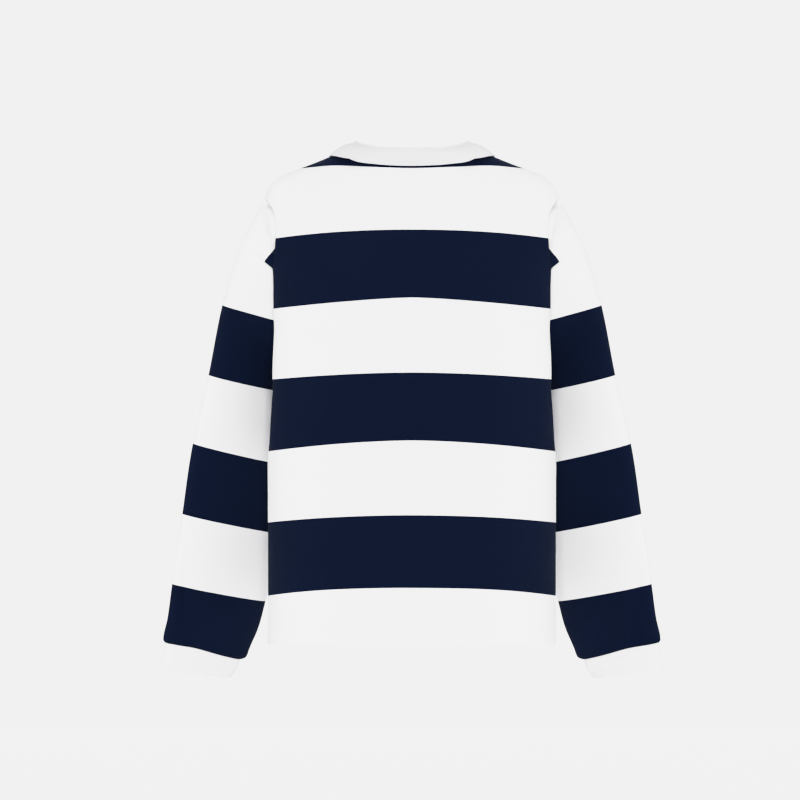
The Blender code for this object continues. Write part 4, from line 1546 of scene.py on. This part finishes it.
@dataclass
class Collar:
    """Collar of a stand and a fall in one, folded over the panels."""

    form: ShirtForm
    wall: float = 0.0022
    fold_radius: float = 0.0016
    fold_drop: float = 0.0016
    # swell of the fall between the fold and the free edge
    fall_swell: float = 0.0035
    # groove at the edges, the one along the stitching, and the fall's slow wave
    groove: float = 0.0009
    groove_width: float = 0.0014
    stitch_inset: float = 0.006
    stitch_groove: float = 0.0004
    stitch_width: float = 0.0012
    wave: float = 0.0005
    # rows of the stand, of the fold, of the fall and of its free edge
    stand_rows: int = 11
    fold_rows: int = 14
    fall_rows: int = 25
    edge_rows: int = 4
    # angle round the neck, fold, free edge's place on the panels and its lift
    rows: Table = (
        (0.0, 0.0000, 0.0550, -0.0012, 0.000, 0.345, 0.0014),
        (30.0, 0.0420, 0.0460, -0.0002, 0.240, 0.319, 0.0014),
        (60.0, 0.0700, 0.0250, 0.0052, 0.415, 0.238, 0.0014),
        (90.0, 0.0800, 0.0000, 0.0080, 0.500, 0.025, 0.0014),
        (120.0, 0.0680, -0.0420, -0.0090, 0.475, -0.230, 0.0020),
        (150.0, 0.0400, -0.0740, -0.0420, 0.360, -0.440, 0.0030),
        (180.0, 0.0028, -0.0905, -0.0765, 0.230, -0.590, 0.0035),
    )
    # place out, share down the fall, width out, width down, depth
    dents: Table = (
        (0.068, 0.02, 0.006, 0.16, 0.0016), (0.043, 0.12, 0.010, 0.10, 0.0010),
        (0.056, 0.62, 0.010, 0.12, 0.0014), (-0.012, 0.45, 0.016, 0.22, 0.0020),
        (0.006, 0.08, 0.014, 0.10, 0.0012), (-0.064, 0.10, 0.010, 0.20, 0.0020),
        (-0.045, 0.60, 0.012, 0.25, 0.0012),
    )

    def neck_seam(self) -> Tuple[Array, Array]:
        """Neck seam on the wearer's left, along the panels' neck cuts.

        Returns:
            Its points from behind to the front, and their angles round the neck.
        """
        half = self.form.neck_share * np.sin(np.linspace(0.0, math.pi / 2, 60))
        back = self.form.body(1, half, self.form.neck_rise(1, half))
        front = self.form.body(-1, half[::-1], self.form.neck_rise(-1, half[::-1]))
        seam = np.concatenate([back, front[1:]])
        seam[-1, 0] = 0.0012
        depth = np.where(seam[:, 1] > 0, self.form.neck_back, self.form.neck_front)
        return seam, np.arctan2(seam[:, 0] / self.form.neck_half, seam[:, 1] / depth)

    def on_panels(self, across: Array, over: Array) -> Array:
        """Points of the back behind the shoulder line, and of the front before it.

        Args:
            across: place across a panel's half.
            over: rise down from the shoulder line, positive behind it and negative in front.

        Returns:
            The points.
        """
        back = self.form.body(1, across, 2 - np.abs(over))
        front = self.form.body(-1, across, 2 - np.abs(over))
        return np.where(over[:, None] >= 0, back, front)

    def above_panels(self, across: Array, over: Array, lift: Array) -> Array:
        """Points a lift above the panels, along the product of the steps sideways and backward.

        Args:
            across: place across a panel's half.
            over: rise down from the shoulder line, positive behind it and negative in front.
            lift: how far above the panels.

        Returns:
            The points.
        """
        step = 0.01
        sideways = self.on_panels(across + step, over) - self.on_panels(across - step, over)
        backward = self.on_panels(across, over + step) - self.on_panels(across, over - step)
        return self.on_panels(across, over) + lift[:, None] * unit(np.cross(sideways, backward))

    def grid(self) -> Array:
        """Under side of the collar: up the stand, over the fold and down the fall.

        Returns:
            The points, rows from the neck seam to the free edge.
        """
        seam, half = self.neck_seam()
        table = np.array(self.rows)
        beyond = table[1] * np.array([-1.0, -1.0, 1.0, 1.0, -1.0, 1.0, 1.0])
        table = np.vstack([beyond, table])
        knots = np.radians(table[:, 0])
        fold = curve_through(knots, table[:, 1:4], half)
        across, over, lift = curve_through(knots, table[:, 4:7], half).T
        edge = self.above_panels(across, over, lift)
        outward = edge - fold
        outward[:, 2] = 0.0
        outward = unit(outward)
        up = np.array([0.0, 0.0, 1.0])
        inner_foot = fold - self.fold_radius * outward - self.fold_drop * up
        outer_foot = fold + self.fold_radius * outward - self.fold_drop * up
        half_radius = 0.5 * self.fold_radius * outward
        control = [seam, seam + 0.5 * (inner_foot - seam), inner_foot,
                   fold - half_radius, fold + half_radius, outer_foot]
        for share in (0.25, 0.5, 0.75, 1.0):
            swell = self.fall_swell * math.sin(math.pi * share)
            control.append(outer_foot + (edge - outer_foot) * share + swell * (up + 0.5 * outward))
        control = np.stack(control)
        knots = np.arange(len(control), dtype=float)
        fine = spaced(((2, self.stand_rows), (5, self.fold_rows), (8.8, self.fall_rows), (9, self.edge_rows)))
        points = curve_through(knots, control.reshape(len(control), -1), fine).reshape(len(fine), -1, 3)
        return both_halves(points)

    def build(self, cloth: bpy.types.Material, thread: bpy.types.Material) -> None:
        """Make the collar and the stitching along its free edge.

        Its outer face is the under side moved out by the wall, pressed in at its edges and along the
        stitching, with a slow wave and a few dents on the fall.

        Args:
            cloth: the collar's finish.
            thread: the stitches' finish.
        """
        under = self.grid()
        normals = grid_normals(under, False, True)
        points = under + normals * self.wall
        run = lengths_along(points, 0)
        fall = run[-1:] - run
        pressed = bell(fall / self.groove_width) + bell(from_sides(points) / self.groove_width)
        stitched = bell((fall - self.stitch_inset) / self.stitch_width)
        relief = -self.groove * pressed - self.stitch_groove * stitched
        rows = np.arange(len(points))[:, None]
        first_fall = self.stand_rows + self.fold_rows - 1
        falling = ease((rows - first_fall) / 10.0)
        relief = relief + self.wave * falling * wander(lengths_along(points, 1), 5.0, 0.05)
        top = first_fall - 2
        down = np.clip((rows - top) / (len(points) - 1.0 - top), -0.5, 1.0)
        behind = points[..., 1] > 0.0
        for out, share, width, height, depth in self.dents:
            relief -= depth * behind * bell((points[..., 0] - out) / width) * bell((down - share) / height)
        collar = Cloth("collar_cloth", points, False, True, self.wall, None, relief, None, under)
        row = int(np.argmin(np.abs(fall[:, fall.shape[1] // 2] - self.stitch_inset)))
        line = (points + normals * relief[..., None])[row, 4:-4]
        stitches = StitchRow("collar_stitching").build([(line, normals[row, 4:-4])], thread)
        stitching = dress(stitches)
        thing = dress(collar.build(cloth), ["collar"])


@dataclass
class FrontOpening:
    """Placket strips over and under the front slit, with their stitching and rubber buttons."""

    form: ShirtForm
    # share of half the front that half a strip takes
    half_share: float = 0.08
    foot: float = -0.235
    wall: float = 0.0014
    lay: float = 0.0004
    panel_wall: float = 0.0013
    buttons: Tuple[float, ...] = (-0.118, -0.163, -0.208)
    radius: float = 0.0065
    thickness: float = 0.0024
    hole: float = 0.0015
    hole_depth: float = 0.0014
    rim: float = 0.0005
    rounding: float = 0.0009
    button_gap: float = 0.0008
    # groove at the strips' edges, and the one along their stitching with its place
    groove: float = 0.0007
    groove_width: float = 0.0012
    stitch_groove: float = 0.0003
    stitch_inset: float = 0.004

    def strip(self, name: str, outside: bool) -> Cloth:
        """Strip made from the front panel's own points, moved out of it or into the body.

        Args:
            name: its name.
            outside: True for the strip over the panel and False for the one under it.

        Returns:
            The strip's outer face.
        """
        half = np.linspace(0.0, self.half_share, 9)
        trial = np.linspace(1.0, 1.9, 400)
        foot = float(np.interp(self.foot, self.form.body(-1, np.zeros(400), trial)[:, 2], trial))
        tops = self.form.neck_rise(-1, half) + (0.004 if outside else -0.002)
        rise = foot + np.linspace(0.0, 1.0, 90)[:, None] * (tops[None, :] - foot)
        points = both_halves(self.form.body(-1, half[None, :], rise))
        normals = grid_normals(points, False)
        away = self.lay + self.wall if outside else -(self.panel_wall + self.lay)
        points = points + away * normals
        side = from_sides(points)
        edges = bell(side / self.groove_width) + bell(lengths_along(points, 0) / self.groove_width)
        stitched = bell((side - self.stitch_inset) / self.groove_width)
        relief = -self.groove * edges - self.stitch_groove * stitched
        return Cloth(name, points, False, False, self.wall, None, relief)

    def button(self, name: str, height: float) -> Tuple[Cloth, List[Tuple[Array, Array]]]:
        """Round button with a raised rim and two holes, on a square grid drawn into a disc.

        Args:
            name: its name.
            height: how high its middle stands on the strip.

        Returns:
            The button, and the lines of the two threads between its holes with their directions.
        """
        trial = np.linspace(1.0, 1.9, 400)
        line = self.form.body(-1, np.zeros(400), trial)
        rise = float(np.interp(height, line[:, 2], trial))
        here, above = self.form.body(-1, np.zeros(2), np.array([rise, rise + 0.02]))
        upward = unit(above - here)
        side = np.array([1.0, 0.0, 0.0])
        facing = np.cross(side, upward)
        middle = here + facing * (self.lay + self.wall + self.button_gap + self.thickness)
        across, up = np.meshgrid(np.linspace(-1, 1, 57), np.linspace(-1, 1, 57))
        out = across * np.sqrt(1 - up ** 2 / 2)
        high = up * np.sqrt(1 - across ** 2 / 2)
        reach = np.hypot(out, high)
        points = middle + self.radius * (out[..., None] * side + high[..., None] * upward)
        relief = self.rim * bell((reach - 0.78) / 0.11) - self.rounding * ramp(reach, 0.88, 0.12) ** 2
        for hole in (-self.hole, self.hole):
            away = np.hypot(out * self.radius - hole, high * self.radius)
            relief = relief - self.hole_depth * (1 - ramp(away, 0.0004, 0.0005))
        threads = []
        for shift in (-0.0003, 0.0003):
            ends = middle + shift * upward + np.array([[-1.0], [1.0]]) * self.hole * side
            threads.append((ends, np.stack([facing, facing])))
        return Cloth(name, points, False, False, self.thickness, None, relief), threads

    def build(self, cloth: bpy.types.Material, rubber: bpy.types.Material,
              thread: bpy.types.Material) -> None:
        """Make the strips, their stitching and the buttons.

        Args:
            cloth: the strips' finish.
            rubber: the buttons' finish.
            thread: the stitches' finish.
        """
        over = self.strip("placket_strip", True)
        normals = grid_normals(over.points, False)
        raised = over.points + normals * over.relief[..., None]
        lines = [(raised[3:, column], normals[3:, column]) for column in (2, -3)]
        lines.append((raised[4, 2:-2], normals[4, 2:-2]))
        lines.append((raised[18, 2:-2], normals[18, 2:-2]))
        buttons = []
        for number, height in enumerate(self.buttons, start=1):
            button, threads = self.button(f"rubber_button_{number}", height)
            buttons.append(button)
            lines += threads
        stitching = dress(StitchRow("placket_stitching").build(lines, thread))
        strip = dress(over.build(cloth), ["placket_over"])
        under = dress(self.strip("placket_facing", False).build(cloth), ["placket_under"])
        for number, button in enumerate(buttons, start=1):
            dress(button.build(rubber), [f"button_{number}"])


# ------------------------------------------------------------------ studio
@dataclass
class Studio:
    """Pale floor and air, large soft lamps and the camera behind the shirt."""

    floor_height: float = -1.0
    floor_radius: float = 6.0
    pale: float = 0.985
    # how much less the floor shines than the air, because it also reflects a little
    floor_less: float = 0.012
    floor_tone: float = 0.03
    floor_sides: int = 96
    # turn round the shirt from its back, height in degrees, distance, width, share of full white
    lamps_table: Table = (
        (0.0, 12.0, 9.0, 2.0, 0.75),
        (180.0, 14.0, 9.0, 2.4, 0.58),
        (90.0, 20.0, 7.0, 3.0, 0.48),
        (-90.0, 20.0, 7.0, 3.0, 0.48),
        (0.0, 88.0, 6.0, 3.0, 0.38),
    )
    # how the print sets the tones: share of full light and what it becomes
    tone: Table = (
        (0.0, 0.0), (0.25, 0.37), (0.50, 0.65), (0.75, 0.797), (0.92, 0.864), (1.0, 0.881),
    )

    def world(self) -> None:
        """Even pale air that is seen but leaves the light on the cloth to the lamps and the floor."""
        world = bpy.data.worlds.new("studio")
        bpy.context.scene.world = world
        world.use_nodes = True
        background = world.node_tree.nodes["Background"]
        background.inputs[0].default_value = (self.pale, self.pale, self.pale, 1.0)
        world.cycles_visibility.diffuse = False

    def floor(self) -> None:
        """Round floor of the same tone as the air, shining so that it shows no edge."""
        turn = np.linspace(0, 2 * math.pi, self.floor_sides, endpoint=False)
        reach = np.array([0.02, 0.3, 0.6, 1.0]) * self.floor_radius
        x = reach[:, None] * np.cos(turn)
        points = np.stack([x, reach[:, None] * np.sin(turn), np.full(x.shape, self.floor_height)], axis=-1)
        number = np.arange(x.size).reshape(x.shape)
        ahead = np.roll(number, -1, axis=1)
        faces = np.stack([number[:-1], number[1:], ahead[1:], ahead[:-1]], axis=-1).reshape(-1, 4)
        tree = Tree("studio_floor")
        tree.shader.inputs["Base Color"].default_value = (*[self.floor_tone] * 3, 1.0)
        tree.shader.inputs["Roughness"].default_value = 1.0
        tree.shader.inputs["Specular IOR Level"].default_value = 0.0
        tree.shader.inputs["Emission Color"].default_value = (1.0, 1.0, 1.0, 1.0)
        tree.shader.inputs["Emission Strength"].default_value = self.pale - self.floor_less
        make_mesh("studio_floor", points.reshape(-1, 3), faces, tree.material)

    def lamps(self) -> None:
        """Large square lamps that face the middle of the shirt."""
        middle = Vector((0.0, 0.0, -0.35))
        for number, (turn, height, distance, width, share) in enumerate(self.lamps_table):
            turn, height = math.radians(turn), math.radians(height)
            data = bpy.data.lights.new(f"soft_light_{number}", "AREA")
            data.shape = "SQUARE"
            data.size = width
            data.energy = share * math.pi ** 2 * distance ** 2
            lamp = bpy.data.objects.new(data.name, data)
            level = math.cos(height)
            way = Vector((math.sin(turn) * level, math.cos(turn) * level, math.sin(height)))
            lamp.location = middle + way * distance
            lamp.rotation_euler = way.to_track_quat("Z", "Y").to_euler()
            bpy.context.scene.collection.objects.link(lamp)

    def camera(self) -> None:
        """Long lens straight behind the shirt, level with its middle."""
        data = bpy.data.cameras.new("camera")
        data.sensor_width = 36.0
        data.lens = 36.0 * CAMERA_DISTANCE / VIEW_HEIGHT
        thing = bpy.data.objects.new("camera", data)
        thing.location = (VIEW_CENTRE[0], CAMERA_DISTANCE, VIEW_CENTRE[1])
        thing.rotation_euler = (math.pi / 2, 0.0, math.pi)
        bpy.context.scene.collection.objects.link(thing)
        bpy.context.scene.camera = thing

    def print_tones(self) -> None:
        """Lift the picture's middle tones and hold its whites below full, as on a bright product print."""
        settings = bpy.context.scene.view_settings
        settings.view_transform = "Standard"
        settings.use_curve_mapping = True
        curve = settings.curve_mapping.curves[3]
        for place, value in self.tone[1:-1]:
            curve.points.new(place, value)
        curve.points[-1].location = self.tone[-1]
        settings.curve_mapping.update()

    def build(self) -> None:
        """Set the studio up."""
        self.world()
        self.floor()
        self.lamps()
        self.camera()
        self.print_tones()


def main() -> None:
    """Build every piece in order."""
    logging.basicConfig(level=logging.INFO, format="%(name)s: %(message)s")
    white = (0.885, 0.881, 0.896)
    shade = (0.850, 0.846, 0.862)
    jersey = ClothFinish("striped_jersey", Weave.JERSEY, white, shade).material(True)
    # cuff rib a little greyer than the body's white: partly the rib's own tone, partly painted shade standing
    # in for the shade on the cuffs
    rib = ClothFinish("cuff_rib_knit", Weave.RIB, (0.855, 0.852, 0.862), (0.810, 0.807, 0.818),
                      pitch=0.0010, relief=0.00025).material(False)
    # collar and placket cloth greyer than the body's white: partly a different cotton, partly painted shade
    # standing in for the shade that lies on the collar
    twill = ClothFinish("collar_cotton", Weave.TWILL, (0.745, 0.743, 0.760), (0.690, 0.688, 0.706),
                        pitch=0.0009, relief=0.00020, strength=0.50).material(False)
    thread = PlainFinish("white_thread", (0.86, 0.86, 0.87), 0.8, 0.2).material()
    rubber = PlainFinish("white_rubber", (0.80, 0.80, 0.79), 0.45, 0.5).material()
    form = ShirtForm()
    stripes = StripePlan()
    Panels(form, stripes).build(jersey, thread)
    Sleeves(form, stripes).build(jersey)
    Cuffs().build(rib)
    Collar(form).build(twill, thread)
    FrontOpening(form).build(twill, rubber, thread)
    Studio().build()


if __name__ == "__main__":
    main()
